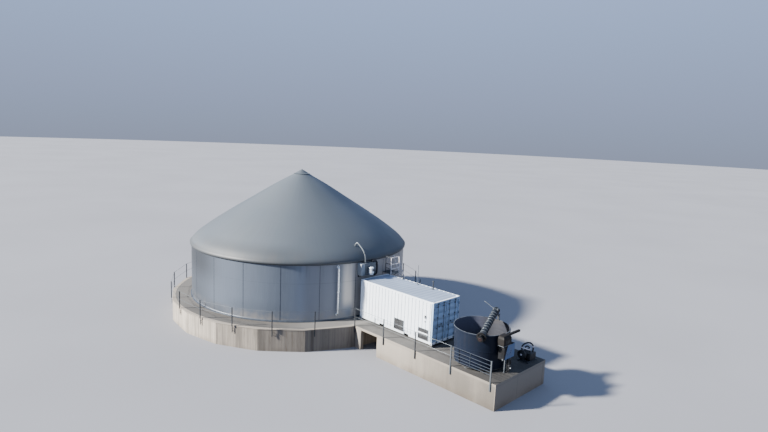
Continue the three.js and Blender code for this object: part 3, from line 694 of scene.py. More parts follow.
def block(lo, hi, soft=0.0, segments=1):
    """Box between two opposite corners, its edges eased by soft metres."""
    lo, hi = Vector(map(min, lo, hi)), Vector(map(max, lo, hi))
    shape = bmesh.new()
    size = Matrix.Diagonal((*(hi - lo), 1.0))
    bmesh.ops.create_cube(shape, size=1.0, matrix=Matrix.Translation((lo + hi) / 2) @ size)
    if soft:
        ease(shape, shape.edges[:], soft, segments)
    return shape


def ease(shape, edges, width, segments=1):
    bmesh.ops.bevel(
        shape, geom=edges, offset=width, segments=segments, profile=0.5, affect="EDGES", material=-1)


def turn_to(along):
    """The turn that takes upright to this direction."""
    return Vector((0, 0, 1)).rotation_difference(along).to_matrix().to_4x4()


def even_turns(count, axis="Z", place=Matrix.Identity(4)):
    """So many even turns about an axis, each then moved to its place."""
    return [place @ Matrix.Rotation(2 * math.pi * i / count, 4, axis) for i in range(count)]


def drum(start, end, r, sides=12, soft=0.0):
    """Round bar or disc from start to end."""
    start, end = Vector(start), Vector(end)
    along = end - start
    shape = bmesh.new()
    bmesh.ops.create_cone(
        shape, cap_ends=True, segments=sides, radius1=r, radius2=r, depth=along.length,
        matrix=Matrix.Translation((start + end) / 2) @ turn_to(along))
    if soft:
        caps = [face for face in shape.faces if len(face.verts) == sides]
        ease(shape, list({edge for face in caps for edge in face.edges}), soft)
    return shape


def turned(profile, sides, centre=(0, 0), ring=False):
    """Spins [radius, height] points right round; a ring's points close on themselves."""
    shape = bmesh.new()
    verts = [shape.verts.new((centre[0] + r, centre[1], z)) for r, z in profile]
    pairs = list(zip(verts, verts[1:])) + ([(verts[-1], verts[0])] if ring else [])
    edges = [shape.edges.new(pair) for pair in pairs]
    bmesh.ops.spin(
        shape, geom=verts + edges, cent=(centre[0], centre[1], 0), axis=(0, 0, 1), angle=2 * math.pi,
        steps=sides, use_merge=True, use_duplicate=False)
    bmesh.ops.remove_doubles(shape, verts=shape.verts[:], dist=1e-5)
    return shape


def sector(profile, start, end, step):
    """Spins a closed section from one polar angle to another."""
    shape = bmesh.new()
    verts = [shape.verts.new(polar(r, start, z)) for r, z in profile]
    face = shape.faces.new(verts)
    bmesh.ops.spin(
        shape, geom=[face], cent=(0, 0, 0), axis=(0, 0, 1), angle=math.radians(end - start),
        steps=max(1, round(abs(end - start) / step)), use_merge=False, use_duplicate=False)
    bmesh.ops.remove_doubles(shape, verts=shape.verts[:], dist=1e-5)
    return shape


def of_kind(grown, kind):
    """What an extrusion made, of one kind only."""
    return [part for part in grown["geom"] if isinstance(part, kind)]


def prism(outline, lift):
    """Lifts a flat outline along a vector into a closed solid."""
    shape = bmesh.new()
    face = shape.faces.new([shape.verts.new(point) for point in outline])
    grown = bmesh.ops.extrude_face_region(shape, geom=[face])
    bmesh.ops.translate(shape, vec=lift, verts=of_kind(grown, bmesh.types.BMVert))
    return shape


def folded_sheet(line, across, thick=SHEET_THICK):
    """Sweeps a folded line along a vector and gives the sheet its thickness."""
    shape = bmesh.new()
    verts = [shape.verts.new(point) for point in line]
    edges = [shape.edges.new(pair) for pair in zip(verts, verts[1:])]
    grown = bmesh.ops.extrude_edge_only(shape, edges=edges)
    bmesh.ops.translate(shape, vec=across, verts=of_kind(grown, bmesh.types.BMVert))
    bmesh.ops.recalc_face_normals(shape, faces=shape.faces[:])
    bmesh.ops.solidify(shape, geom=shape.faces[:], thickness=thick)
    return shape


def smooth_path(points, per_span=4):
    """A curve through the points, with so many steps between two of them."""
    points = [Vector(p) for p in points]
    padded = [points[0] * 2 - points[1], *points, points[-1] * 2 - points[-2]]
    path = []
    for a, b, c, d in zip(padded, padded[1:], padded[2:], padded[3:]):
        for i in range(per_span):
            t = i / per_span
            bend = (2 * a - 5 * b + 4 * c - d) * t * t + (3 * b - a - 3 * c + d) * t ** 3
            path.append(0.5 * (2 * b + (c - a) * t + bend))
    return [*path, points[-1]]


def tube(path, r, sides=12):
    """Round pipe or hose along a path, closed at both ends."""
    path = [Vector(p) for p in path]
    heading = (path[1] - path[0]).normalized()
    turn = Vector((0, 0, 1)).rotation_difference(heading)
    here = Matrix.Translation(path[0]) @ turn.to_matrix().to_4x4()
    shape = bmesh.new()
    bmesh.ops.create_circle(shape, cap_ends=True, radius=r, segments=sides, matrix=here)
    end = shape.faces[:]
    for i in range(1, len(path)):
        after = path[min(i + 1, len(path) - 1)] - path[i - 1]
        turn = heading.rotation_difference(after.normalized()) @ turn
        heading = after.normalized()
        there = Matrix.Translation(path[i]) @ turn.to_matrix().to_4x4()
        grown = bmesh.ops.extrude_face_region(shape, geom=end)
        verts = of_kind(grown, bmesh.types.BMVert)
        bmesh.ops.transform(shape, matrix=there @ here.inverted(), verts=verts)
        end = of_kind(grown, bmesh.types.BMFace)
        here = there
    return shape


class Piece:
    """One visible piece in the making: shapes go in with their finish, and it comes out as an object."""

    def __init__(self, name, finish_name):
        self.name = name
        self.finishes = [finish_name]
        self.whole = bmesh.new()
        self.scratch = bpy.data.meshes.new("scratch")

    def take(self, shape, paint=None, turns=(Matrix.Identity(4),), upright=None):
        """Takes a shape, once for each turn, and frees it; upright names the finish of its standing faces."""
        bmesh.ops.recalc_face_normals(shape, faces=shape.faces[:])
        flat = paint or self.finishes[0]
        self.finishes += [name for name in (flat, upright) if name and name not in self.finishes]
        for face in shape.faces:
            standing = upright and abs(face.normal.z) < 0.5
            face.material_index = self.finishes.index(upright if standing else flat)
        shape.to_mesh(self.scratch)
        shape.free()
        for turn in turns:
            copy = self.scratch.copy()
            copy.transform(turn)
            self.whole.from_mesh(copy)
            bpy.data.meshes.remove(copy)

    def done(self, slot, stands_for=(), body="plant", crease=32):
        """Makes the object, smooth up to a crease angle, and hangs it on its body."""
        mesh = bpy.data.meshes.new(self.name)
        self.whole.to_mesh(mesh)
        self.whole.free()
        bpy.data.meshes.remove(self.scratch)
        for name in self.finishes:
            mesh.materials.append(finish(name))
        mesh.shade_smooth()
        mesh.set_sharp_from_angle(angle=math.radians(crease))
        made = bpy.data.objects.new(self.name, mesh)
        bpy.context.scene.collection.objects.link(made)
        if stands_for:
            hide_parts(*stands_for)
        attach(made, body)


def turned_about_z(degrees):
    """A turn about the tank's axis for each of these angles."""
    return [Matrix.Rotation(math.radians(angle), 4, "Z") for angle in degrees]


def numbered(stem, count):
    return [f"{stem}_{i + 1}" for i in range(count)]


def paint_node(node, name):
    """A CAD node that keeps its own shape gets its finish in every slot."""
    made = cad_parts[node]
    made.data.materials.clear()
    made.data.materials.append(finish(name))


# The stage: where its light comes from, and the camera that was solved from the photograph

SUN_HEIGHT = math.radians(28.5)
SUN_SIDE = Vector((-0.545, -0.839, 0))
VIEW_RIGHT = (0.698511, 0.714338, 0.042478)
VIEW_UP = (-0.139118, 0.077329, 0.987252)
VIEW_BACK = (0.701947, -0.695516, 0.153392)
VIEW_SPOT = (34.1632, -24.7938, 13.893)
VIEW_LENS = 25.507
GLOW_BELOW = (0.2, 0.17, 0.145, 1)
GLOW_ABOVE = (0.43, 0.58, 0.93, 1)


class DIGESTER_OT_stage(bpy.types.Operator):
    """Lay the pale floor and set the soft studio lights and the camera"""

    bl_idname = "digester.stage"
    bl_label = "Studio stage"

    def execute(self, context):
        scene = context.scene
        shape = bmesh.new()
        bmesh.ops.create_circle(shape, cap_ends=True, radius=400.0, segments=128)
        mesh = bpy.data.meshes.new("studio_floor")
        shape.to_mesh(mesh)
        shape.free()
        mesh.materials.append(studio_floor())
        floor = bpy.data.objects.new("studio_floor", mesh)
        floor.visible_diffuse = False
        scene.collection.objects.link(floor)

        key = bpy.data.lights.new("key_light", "SUN")
        key.energy = 19.0
        key.angle = math.radians(4.0)
        key.color = (1.0, 0.97, 0.92)
        lamp = bpy.data.objects.new("key_light", key)
        towards = SUN_SIDE * math.cos(SUN_HEIGHT) + Vector((0, 0, math.sin(SUN_HEIGHT)))
        lamp.rotation_euler = towards.to_track_quat("Z", "Y").to_euler()
        scene.collection.objects.link(lamp)

        sky = bpy.data.worlds.new("studio_fill")
        sky.use_nodes = True
        tree = sky.node_tree
        tree.nodes.clear()
        height = add_node(tree, "SeparateXYZ", [add_node(tree, "TexCoord", out="Generated")], out="Z")
        from_above = add_node(tree, "MapRange", {"Value": height, "From Min": -0.25, "From Max": 0.25})
        glow = add_node(tree, "Mix", {0: from_above, 6: GLOW_BELOW, 7: GLOW_ABOVE}, out=2, data_type="RGBA")
        add_node(tree, "OutputWorld", {"Surface": add_node(tree, "Background", {"Color": glow})})
        scene.world = sky

        view = bpy.data.cameras.new("photo_view")
        view.sensor_fit = "HORIZONTAL"
        view.sensor_width = 36.0
        view.lens = VIEW_LENS
        view.clip_end = 900.0
        camera = bpy.data.objects.new("photo_view", view)
        turn = Matrix((VIEW_RIGHT, VIEW_UP, VIEW_BACK)).transposed()
        camera.matrix_world = Matrix.Translation(VIEW_SPOT) @ turn.to_4x4()
        scene.collection.objects.link(camera)
        scene.camera = camera
        return {"FINISHED"}


# Tank, roof and ring

class DIGESTER_OT_cladding(bpy.types.Operator):
    """Clad the tank wall: sheets, cover strips over the seams, screws and the ledge at the foot"""

    bl_idname = "digester.cladding"
    bl_label = "Tank cladding"

    def execute(self, context):
        size = sizes()
        piece = Piece("tank_cladding", "cladding")
        wall = [(TANK_IN_R, 0), (TANK_R, 0), (TANK_R, EAVE_Z), (TANK_IN_R, EAVE_Z)]
        piece.take(turned(wall, 160, ring=True))
        half = size.seam_width / 2
        seams = turned_about_z([SEAM_FROM - SEAM_STEP * i for i in range(20)])
        piece.take(block((TANK_R - 0.004, -half, WALK_Z), (TANK_R + 0.007, half, 5.17), 0.002), "seam", seams)
        for side in (-1, 1):
            y = side * (half + 0.03)
            for row in range(9):
                z = 1.62 + 0.43 * row
                piece.take(drum((TANK_R - 0.003, y, z), (TANK_R + 0.005, y, z), 0.008, 6), "dark_steel", seams)
        ledge = TANK_R + size.plinth_out
        foot = [
            (ON_TANK_R, WALK_Z), (ledge, WALK_Z), (ledge, 1.485), (ledge - 0.015, 1.495), (ON_TANK_R, 1.505)]
        drip = [(TANK_R - 0.002, 1.52), (TANK_R + 0.022, 1.505), (TANK_R + 0.024, 1.515), (TANK_R - 0.002, 1.56)]
        # The ledge and the drip take the darker seam finish, which also tones down the ledge's sunlit top: painted
        # shade.
        for line in (foot, drip):
            piece.take(turned(line, 160, ring=True), "seam")
        piece.done("cladding", numbered("tank_wall", 8))
        paint_node("tank_floor", "walk_concrete")
        return {"FINISHED"}


class DIGESTER_OT_membrane_roof(bpy.types.Operator):
    """Stretch the gas membrane from its tip over the rim, and clamp it with the bolted rail"""

    bl_idname = "digester.membrane_roof"
    bl_label = "Membrane roof"

    def execute(self, context):
        line = smooth_path([(share * ROOF_R, z) for share, z in ROOF_PROFILE], 5)
        outer = [(max(0.0, p.x), p.y) for p in line]
        rim = [(ROOF_R, 5.32), (8.152, 5.275), (8.13, EAVE_Z + 0.002), (7.75, EAVE_Z + 0.002)]
        inner = [(r, z - 0.07) for r, z in outer[:-8:2] if r < 7.7]
        piece = Piece("gas_membrane_roof", "membrane")
        piece.take(turned([*outer, *rim, *reversed(inner)], 144))
        patch = [(r, z + 0.006) for r, z in outer if r < 0.6]
        patch = [*patch, (0.62, patch[-1][1] - 0.022)]
        piece.take(turned([*patch, (0.0, 10.6)], 48), "membrane")
        piece.done("membrane", ["roof_membrane"], crease=50)

        rail = Piece("membrane_clamp_rail", "dark_steel")
        back = TANK_R + 0.0008
        strip = [(back, 5.215), (8.09, 5.215), (8.096, 5.222), (8.096, EAVE_Z), (back, EAVE_Z)]
        rail.take(turned(strip, 160, ring=True))
        count = round(2 * math.pi * TANK_R / sizes().clamp_bolt_gap)
        rail.take(drum((8.094, 0, 5.232), (8.112, 0, 5.232), 0.012, 6), "galvanised", even_turns(count))
        rail.done("dark_metal", ["roof_clamp_rail"])
        return {"FINISHED"}


def draw_onto_panels(shape):
    """Draws the ring wall's outer face towards the formwork panels that it was cast against, which bellied
    out a little under the wet concrete, so that it goes only part of the way from the circle to the panel."""
    half = FACET_STEP / 2
    for vert in shape.verts:
        if vert.co.xy.length > RING_R - 0.1:
            degrees = math.degrees(math.atan2(vert.co.y, vert.co.x))
            off_middle = (degrees - FACET_FROM) % FACET_STEP - half
            share = math.cos(math.radians(half)) / math.cos(math.radians(off_middle))
            vert.co.xy = vert.co.xy * ((1 - PANEL_PULL + PANEL_PULL * share) * FACET_R / RING_R)


class DIGESTER_OT_ring_wall(bpy.types.Operator):
    """Cast the ring wall in nearly straight panels, and the walkway slab round the tank"""

    bl_idname = "digester.ring_wall"
    bl_label = "Ring wall and walkway"

    def execute(self, context):
        piece = Piece("ring_wall_and_walkway", "ring_concrete")
        wall = [
            (RING_IN_R, 0), (RING_R, 0), (RING_R, 1.385), (RING_R + 0.012, 1.392), (RING_R + 0.012, 1.438),
            (RING_R, WALK_Z), (RING_IN_R, WALK_Z),
        ]
        full = FACET_FROM - 18 * FACET_STEP
        for start, end in ((RING_FROM, FACET_FROM), (FACET_FROM, full), (full, RING_TO)):
            part = sector(wall, start, end, 1.0)
            draw_onto_panels(part)
            piece.take(part)
        rim = RING_IN_R - 0.001
        slab = [(ON_TANK_R, 1.25), (rim, 1.25), (rim, 1.447), (ON_TANK_R, 1.449)]
        piece.take(sector(slab, RING_FROM, RING_TO, 1.2), "walk_concrete")
        piece.done("concrete", numbered("ring_walkway", 7), crease=12)
        paint_node("ring_wall_under_platform", "ring_concrete")
        return {"FINISHED"}


class DIGESTER_OT_platform(bpy.types.Operator):
    """Cast the platform: walls with the culvert opening, and the slab with its eased edge"""

    bl_idname = "digester.platform"
    bl_label = "Concrete platform"

    def execute(self, context):
        walls = ("platform_front_wall", "platform_pillar", "platform_end_wall", "platform_rear_wall", "culvert_wall")
        for node in walls:
            lo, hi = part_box(node)
            piece = Piece(node + "_cast", "platform_concrete")
            piece.take(block(lo, hi, 0.01, 2))
            piece.done("concrete", [node])
        across = PLAT_SIDE_ANGLE - RING_FROM
        around = [polar(ON_TANK_R, PLAT_SIDE_ANGLE - across * i / 20, SLAB_LOW) for i in range(21)]
        corners = ((9.25, PLAT_FRONT), (PLAT_END, PLAT_FRONT), (PLAT_END, PLAT_REAR), (9.13, PLAT_REAR))
        outline = [
            polar(RING_R, RING_FROM, SLAB_LOW), *(Vector((x, y, SLAB_LOW)) for x, y in corners),
            polar(RING_R, PLAT_SIDE_ANGLE, SLAB_LOW), *around]
        slab = prism(outline, (0, 0, WALK_Z - SLAB_LOW))
        edges = [
            edge for edge in slab.edges
            if all(v.co.z > 1.4 and v.co.xy.length > RING_R - 0.01 for v in edge.verts)]
        ease(slab, edges, 0.015, 2)
        piece = Piece("platform_slab_cast", "walk_concrete")
        piece.take(slab, upright="platform_concrete")
        piece.done("concrete", ["platform_slab"])
        return {"FINISHED"}


# Railings

def wall_post(piece, turns):
    """A square railing post outside the ring wall, seen at polar angle 0: its flat foot, plate and the
    long bolts that reach the panel."""
    half = sizes().post_side / 2
    back, front = POST_BACK_R, POST_BACK_R + 2 * half
    piece.take(block((back, -half, 1.41), (front, half, POST_HIGH), 0.004), None, turns)
    piece.take(block((back, -half, POST_LOW), (back + 0.02, half, 1.46), 0.003), None, turns)
    cap_lo, cap_hi = (back - CAP_LIP, -half - CAP_LIP, CAP_LOW), (front + CAP_LIP, half + CAP_LIP, CAP_HIGH)
    piece.take(block(cap_lo, cap_hi), None, turns)
    piece.take(block((back - 0.01, -0.034, 1.08), (back, 0.034, 1.3), 0.003), None, turns)
    for z in (1.1, 1.28):
        piece.take(drum((RING_R - 0.12, 0, z), (back - 0.008, 0, z), 0.012, 10), "galvanised", turns)
        for y in (-0.022, 0.022):
            piece.take(drum((back - 0.002, y, z), (back + 0.028, y, z), 0.008, 6), "galvanised", turns)
    for z in RAIL_HEIGHTS:
        piece.take(drum((back + half, -0.02, z), (back + half, 0.02, z), 0.0155, 10), "galvanised", turns)


class DIGESTER_OT_ring_railing(bpy.types.Operator):
    """Bolt the posts and the thin rods round the ring wall"""

    bl_idname = "digester.ring_railing"
    bl_label = "Ring railing"

    def execute(self, context):
        rod = sizes().rail_rod
        middle = POST_BACK_R + sizes().post_side / 2
        for part in range(5):
            first = 4 * part
            posts = range(first, first + (5 if part == 4 else 4))
            piece = Piece(f"ring_railing_bays_{part + 1}", "dark_steel")
            wall_post(piece, turned_about_z([POST_FROM - POST_STEP * i for i in posts]))
            for i in range(first, first + 4):
                start, end = (polar(middle, POST_FROM - POST_STEP * k) for k in (i, i + 1))
                for z in RAIL_HEIGHTS:
                    lift = Vector((0, 0, z))
                    piece.take(drum(start + lift, end + lift, rod, 8), "galvanised")
            piece.done("galvanised", [f"ring_railing_{part + 1}"])
        return {"FINISHED"}


def front_post(piece, x, paint):
    """A square post on the front of the platform, with its plate, bolts and cap."""
    half = sizes().post_side / 2
    face, front = POST_BACK_Y, POST_BACK_Y - 2 * half
    piece.take(block((x - half, front, POST_LOW), (x + half, face, POST_HIGH), 0.004), paint)
    reach = half + CAP_LIP
    piece.take(block((x - reach, front - CAP_LIP, CAP_LOW), (x + reach, face + CAP_LIP, CAP_HIGH)), paint)
    piece.take(block((x - 0.08, face, 1.0), (x + 0.08, PLAT_FRONT + 0.002, 1.36), 0.002), paint)
    for side in (-0.056, 0.056):
        for z in (1.05, 1.31):
            piece.take(drum((x + side, face + 0.002, z), (x + side, face - 0.014, z), 0.013, 6), "galvanised")


class DIGESTER_OT_platform_railing(bpy.types.Operator):
    """Put up the rods along the platform and the panel of five tubes by the feeder"""

    bl_idname = "digester.platform_railing"
    bl_label = "Platform railing"

    def execute(self, context):
        y = POST_BACK_Y - sizes().post_side / 2
        rail_end, panel_end = 17.05, 19.65
        piece = Piece("platform_railing_bays", "dark_steel")
        for x in (11.83, 14.44):
            front_post(piece, x, "dark_steel")
        front_post(piece, rail_end, "galvanised")
        start = polar(RING_R + 0.04, POST_FROM)
        for z in RAIL_HEIGHTS:
            corner = Vector((start.x + 0.08, y, z))
            for near, far in (((start.x + 0.02, start.y + 0.01, z), corner), (corner, (rail_end, y, z))):
                piece.take(drum(near, far, sizes().rail_rod, 8), "galvanised")
        piece.done("galvanised", ["platform_railing"])

        panel = Piece("tube_panel", "tube")
        front_post(panel, panel_end, "galvanised")
        for top in (CAP_HIGH, 2.4, 2.21, 2.05, 1.9):
            z = top - 0.024
            panel.take(drum((17.08, y, z), (panel_end, y, z), 0.014))
            for start, end in ((17.076, 17.1), (19.6, 19.63)):
                panel.take(drum((start, y, z), (end, y, z), 0.024, soft=0.003))
        panel.take(block((18.31, y - 0.026, 1.87), (18.34, y + 0.026, 2.61), 0.006))
        panel.done("galvanised", ["tube_railing_panel"])
        return {"FINISHED"}


# Container

def corrugation(long, pitch, depth):
    """(along, inwards) points of pressed ribs along a wall."""
    count = round(long / pitch)
    step = long / count
    line = []
    for i in range(count):
        at = i * step
        line += [(at, 0.0), (at + 0.62 * step, 0.0), (at + 0.72 * step, depth), (at + 0.9 * step, depth)]
    return [*line, (long, 0.0)]


def casting(piece, lo, hi):
    """Corner fitting: a thick steel box with a dark patch in each outer side that paints the shade of its oval hole.
    """
    lo, hi = Vector(lo), Vector(hi)
    piece.take(block(lo, hi, 0.008, 2))
    middle = (lo + hi) / 2
    for axis, half in ((0, 0.045), (1, 0.04)):
        low, high = lo.copy(), hi.copy()
        low[axis], high[axis] = middle[axis] - half, middle[axis] + half
        low[1 - axis] -= 0.001
        high[1 - axis] += 0.001
        low.z, high.z = middle.z - 0.028, middle.z + 0.028
        # Each hole is a flat dark patch that paints the shade inside it.
        piece.take(block(low, high), "machine")


class DIGESTER_OT_container(bpy.types.Operator):
    """Build the technical container: base, corrugated walls, roof sheet and corner fittings"""

    bl_idname = "digester.container"
    bl_label = "Container shell"

    def execute(self, context):
        size = sizes()
        x0, y0, z0 = BOX_LO
        x1, y1, z1 = BOX_HI
        base = Piece("container_base", "container")
        for y in (y0 + 0.004, y1 - 0.054):
            base.take(block((x0 + 0.17, y, 1.72), (x1 - 0.17, y + 0.05, FLOOR_RAIL_TOP), 0.004))
            edges = (x0 + 0.17, *FORK_POCKETS[0], *FORK_POCKETS[1], x1 - 0.17)
            for start, end in zip(edges[::2], edges[1::2]):
                base.take(block((start, y, z0 + 0.012), (end, y + 0.05, 1.725), 0.004))
        for x in (x0 + 0.004, x1 - 0.064):
            base.take(block((x, y0 + 0.16, z0 + 0.012), (x + 0.06, y1 - 0.16, FLOOR_RAIL_TOP), 0.004))
        base.take(block((x0 + 0.06, y0 + 0.05, 1.735), (x1 - 0.06, y1 - 0.05, FLOOR_RAIL_TOP)), "machine")
        for i in range(14):
            x = x0 + 0.35 + 0.41 * i
            base.take(block((x, y0 + 0.05, z0 + 0.03), (x + 0.05, y1 - 0.05, 1.735)), "machine")
        for start, end in FORK_POCKETS:
            base.take(block((start - 0.02, y0 + 0.14, z0 + 0.012), (end + 0.02, y1 - 0.14, 1.735)), "machine")
        for x in (x0, x1 - CORNER_X):
            for y in (y0, y1 - CORNER_Y):
                casting(base, (x, y, z0), (x + CORNER_X, y + CORNER_Y, z0 + CORNER_Z))
                base.take(block((x, y, z0 + CORNER_Z), (x + 0.12, y + CORNER_Y, FLOOR_RAIL_TOP), 0.003))
                base.take(block((x, y, WALK_Z), (x + 0.2, y + 0.17, z0), 0.008), "walk_concrete")
        base.done("container_paint", ["container_floor"])

        ribs = corrugation(x1 - x0 - 0.26, size.rib_pitch, size.rib_depth)
        left = x0 + 0.1
        for node, face, way in (("container_front_wall", y0 + 0.004, 1), ("container_rear_wall", y1 - 0.004, -1)):
            wall = Piece(node + "_sheet", "container")
            line = [(left + along, face + way * inwards, SHEET_LOW) for along, inwards in ribs]
            wall.take(folded_sheet(line, SHEET_RISE))
            inner = face + way * 0.052
            outer = face - way * 0.002
            wall.take(block((x0 + 0.17, outer, 4.075), (x1 - 0.12, inner, ROOF_RAIL_LOW), 0.004))
            wall.take(block((x0 + 0.004, outer, 1.72), (x0 + 0.1, inner, 4.08), 0.006, 2))
            if way == 1:
                wall.take(block((14.11, face - 0.03, 3.1), (14.23, face + 0.002, 3.28), 0.01, 2), "machine")
                wall.take(drum((14.17, face - 0.04, 3.21), (14.17, face - 0.028, 3.21), 0.035, 16), "galvanised")
                wall.take(block((14.13, face - 0.02, 2.86), (14.2, face + 0.002, 2.94), 0.006), "oxide")
            wall.done("container_paint", [node])

        end = Piece("container_end_wall_sheet", "container")
        ribs = corrugation(y1 - y0 - 0.1, 0.25, 0.04)
        line = [(x0 + 0.006 + inwards, y0 + 0.05 + along, SHEET_LOW) for along, inwards in ribs]
        end.take(folded_sheet(line, SHEET_RISE))
        end.take(block((x0 + 0.002, y0 + 0.16, 4.05), (x0 + 0.062, y1 - 0.16, ROOF_RAIL_LOW), 0.004))
        end.done("container_paint", ["container_end_wall"])

        roof = Piece("container_roof_sheet", "roof_sheet")
        ribs = corrugation(x1 - x0 - 0.16, 0.36, 0.014)
        line = [(x0 + 0.08 + along, y0 + 0.05, 4.176 - inwards) for along, inwards in ribs]
        roof.take(folded_sheet(line, (0, y1 - y0 - 0.1, 0)))
        for y in (y0 + 0.002, y1 - 0.062):
            roof.take(block((x0 + 0.17, y, ROOF_RAIL_LOW), (x1 - 0.17, y + 0.06, ROOF_RAIL_TOP), 0.005), "container")
        for x in (x0 + 0.002, x1 - 0.092):
            roof.take(block((x, y0 + 0.15, ROOF_RAIL_LOW), (x + 0.09, y1 - 0.15, ROOF_RAIL_TOP), 0.005), "container")
        for x in (x0, x1 - CORNER_X):
            for y in (y0, y1 - CORNER_Y):
                low = Vector((x, y, z1 - CORNER_Z))
                high = low + Vector((CORNER_X, CORNER_Y, CORNER_Z))
                roof.take(block(low + Vector((0, 0, 0.06)), high, 0.008, 2), "container")
                # A dark patch on top paints the shade inside the casting's top hole.
                roof.take(block(low + Vector((0.04, 0.05, 0.1)), low + Vector((0.138, 0.11, 0.1185))), "machine")
        roof.done("container_paint", ["container_roof"])
        return {"FINISHED"}


class DIGESTER_OT_louvres(bpy.types.Operator):
    """Fit the two louvres in the container's front wall"""

    bl_idname = "digester.louvres"
    bl_label = "Container louvres"

    def execute(self, context):
        for number in (1, 2):
            lo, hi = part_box(f"container_louvre_{number}")
            piece = Piece(f"louvre_blades_{number}", "louvre")
            wide, high = hi.x - lo.x, hi.z - lo.z
            rim = 0.03
            # The dark plate behind the blades paints the shade of the opening behind them.
            piece.take(block((lo.x, hi.y - 0.004, lo.z), (hi.x, hi.y + 0.002, hi.z)), "machine")
            bars = (
                (0, 0, wide, rim), (0, high - rim, wide, high),
                (0, rim, rim, high - rim), (wide - rim, rim, wide, high - rim))
            for left, low, right, top in bars:
                start, end = (lo.x + left, lo.y, lo.z + low), (lo.x + right, hi.y - 0.002, lo.z + top)
                piece.take(block(start, end, 0.003))
            gap = sizes().louvre_gap
            rows = int((high - 2 * rim) / gap)
            blade = block((lo.x + rim, -0.013, -0.002), (hi.x - rim, 0.013, 0.002))
            slope = Matrix.Rotation(math.radians(-38), 4, "X")
            spots = [
                Matrix.Translation((0, hi.y - 0.014, lo.z + rim + gap * (i + 0.5))) @ slope for i in range(rows)]
            piece.take(blade, "louvre", spots)
            if number == 2:
                band = block((lo.x + 0.01, lo.y - 0.004, 2.13), (hi.x - 0.01, lo.y + 0.01, 2.2), 0.003)
                piece.take(band, "container")
            piece.done("dark_metal", [f"container_louvre_{number}"])
        return {"FINISHED"}


def hinge_heights():
    """The heights of a door's four hinges."""
    return [DOOR_Z[0] + share * (DOOR_Z[1] - DOOR_Z[0]) for share in (0.1, 0.37, 0.63, 0.9)]


class DIGESTER_OT_door_frame(bpy.types.Operator):
    """Build the container's door frame with its hinge lugs and cam keepers"""

    bl_idname = "digester.door_frame"
    bl_label = "Container door frame"

    def execute(self, context):
        x1 = BOX_HI.x
        # The frame takes the doors' paint, whose darker blue grey paints the door end's shade.
        piece = Piece("container_door_frame_steel", "doors")
        for y in (BOX_LO.y, BOX_HI.y - 0.07):
            piece.take(block((x1 - 0.12, y, FLOOR_RAIL_TOP), (x1, y + 0.07, ROOF_RAIL_LOW), 0.006, 2))
        piece.take(block((x1 - 0.12, BOX_LO.y + 0.06, 4.012), (x1, BOX_HI.y - 0.06, ROOF_RAIL_LOW), 0.006, 2))
        for hinge in HINGE_LINES:
            for z in hinge_heights():
                for side in (-1, 1):
                    near = z + side * (KNUCKLE_HALF + KNUCKLE_PLAY)
                    far = near + side * 0.04
                    knuckle = drum((HINGE_X, hinge, near), (HINGE_X, hinge, far), KNUCKLE_R, soft=0.002)
                    piece.take(knuckle, "galvanised")
                    piece.take(block((x1 - 0.004, hinge - 0.011, near), (HINGE_X, hinge + 0.011, far), 0.002))
        for edge, free in LEAF_EDGES:
            spots = [
                (edge + share * (free - edge) + side * 0.058, z)
                for share in ROD_SHARES for z in CAM_HEIGHTS for side in (-1, 1)]
            for y, z in spots:
                keeper = block((x1 - 0.003, y - 0.011, z - 0.035), (x1 + 0.03, y + 0.011, z + 0.035), 0.004)
                piece.take(keeper, "galvanised")
        piece.done("container_paint", ["container_door_frame"])
        return {"FINISHED"}


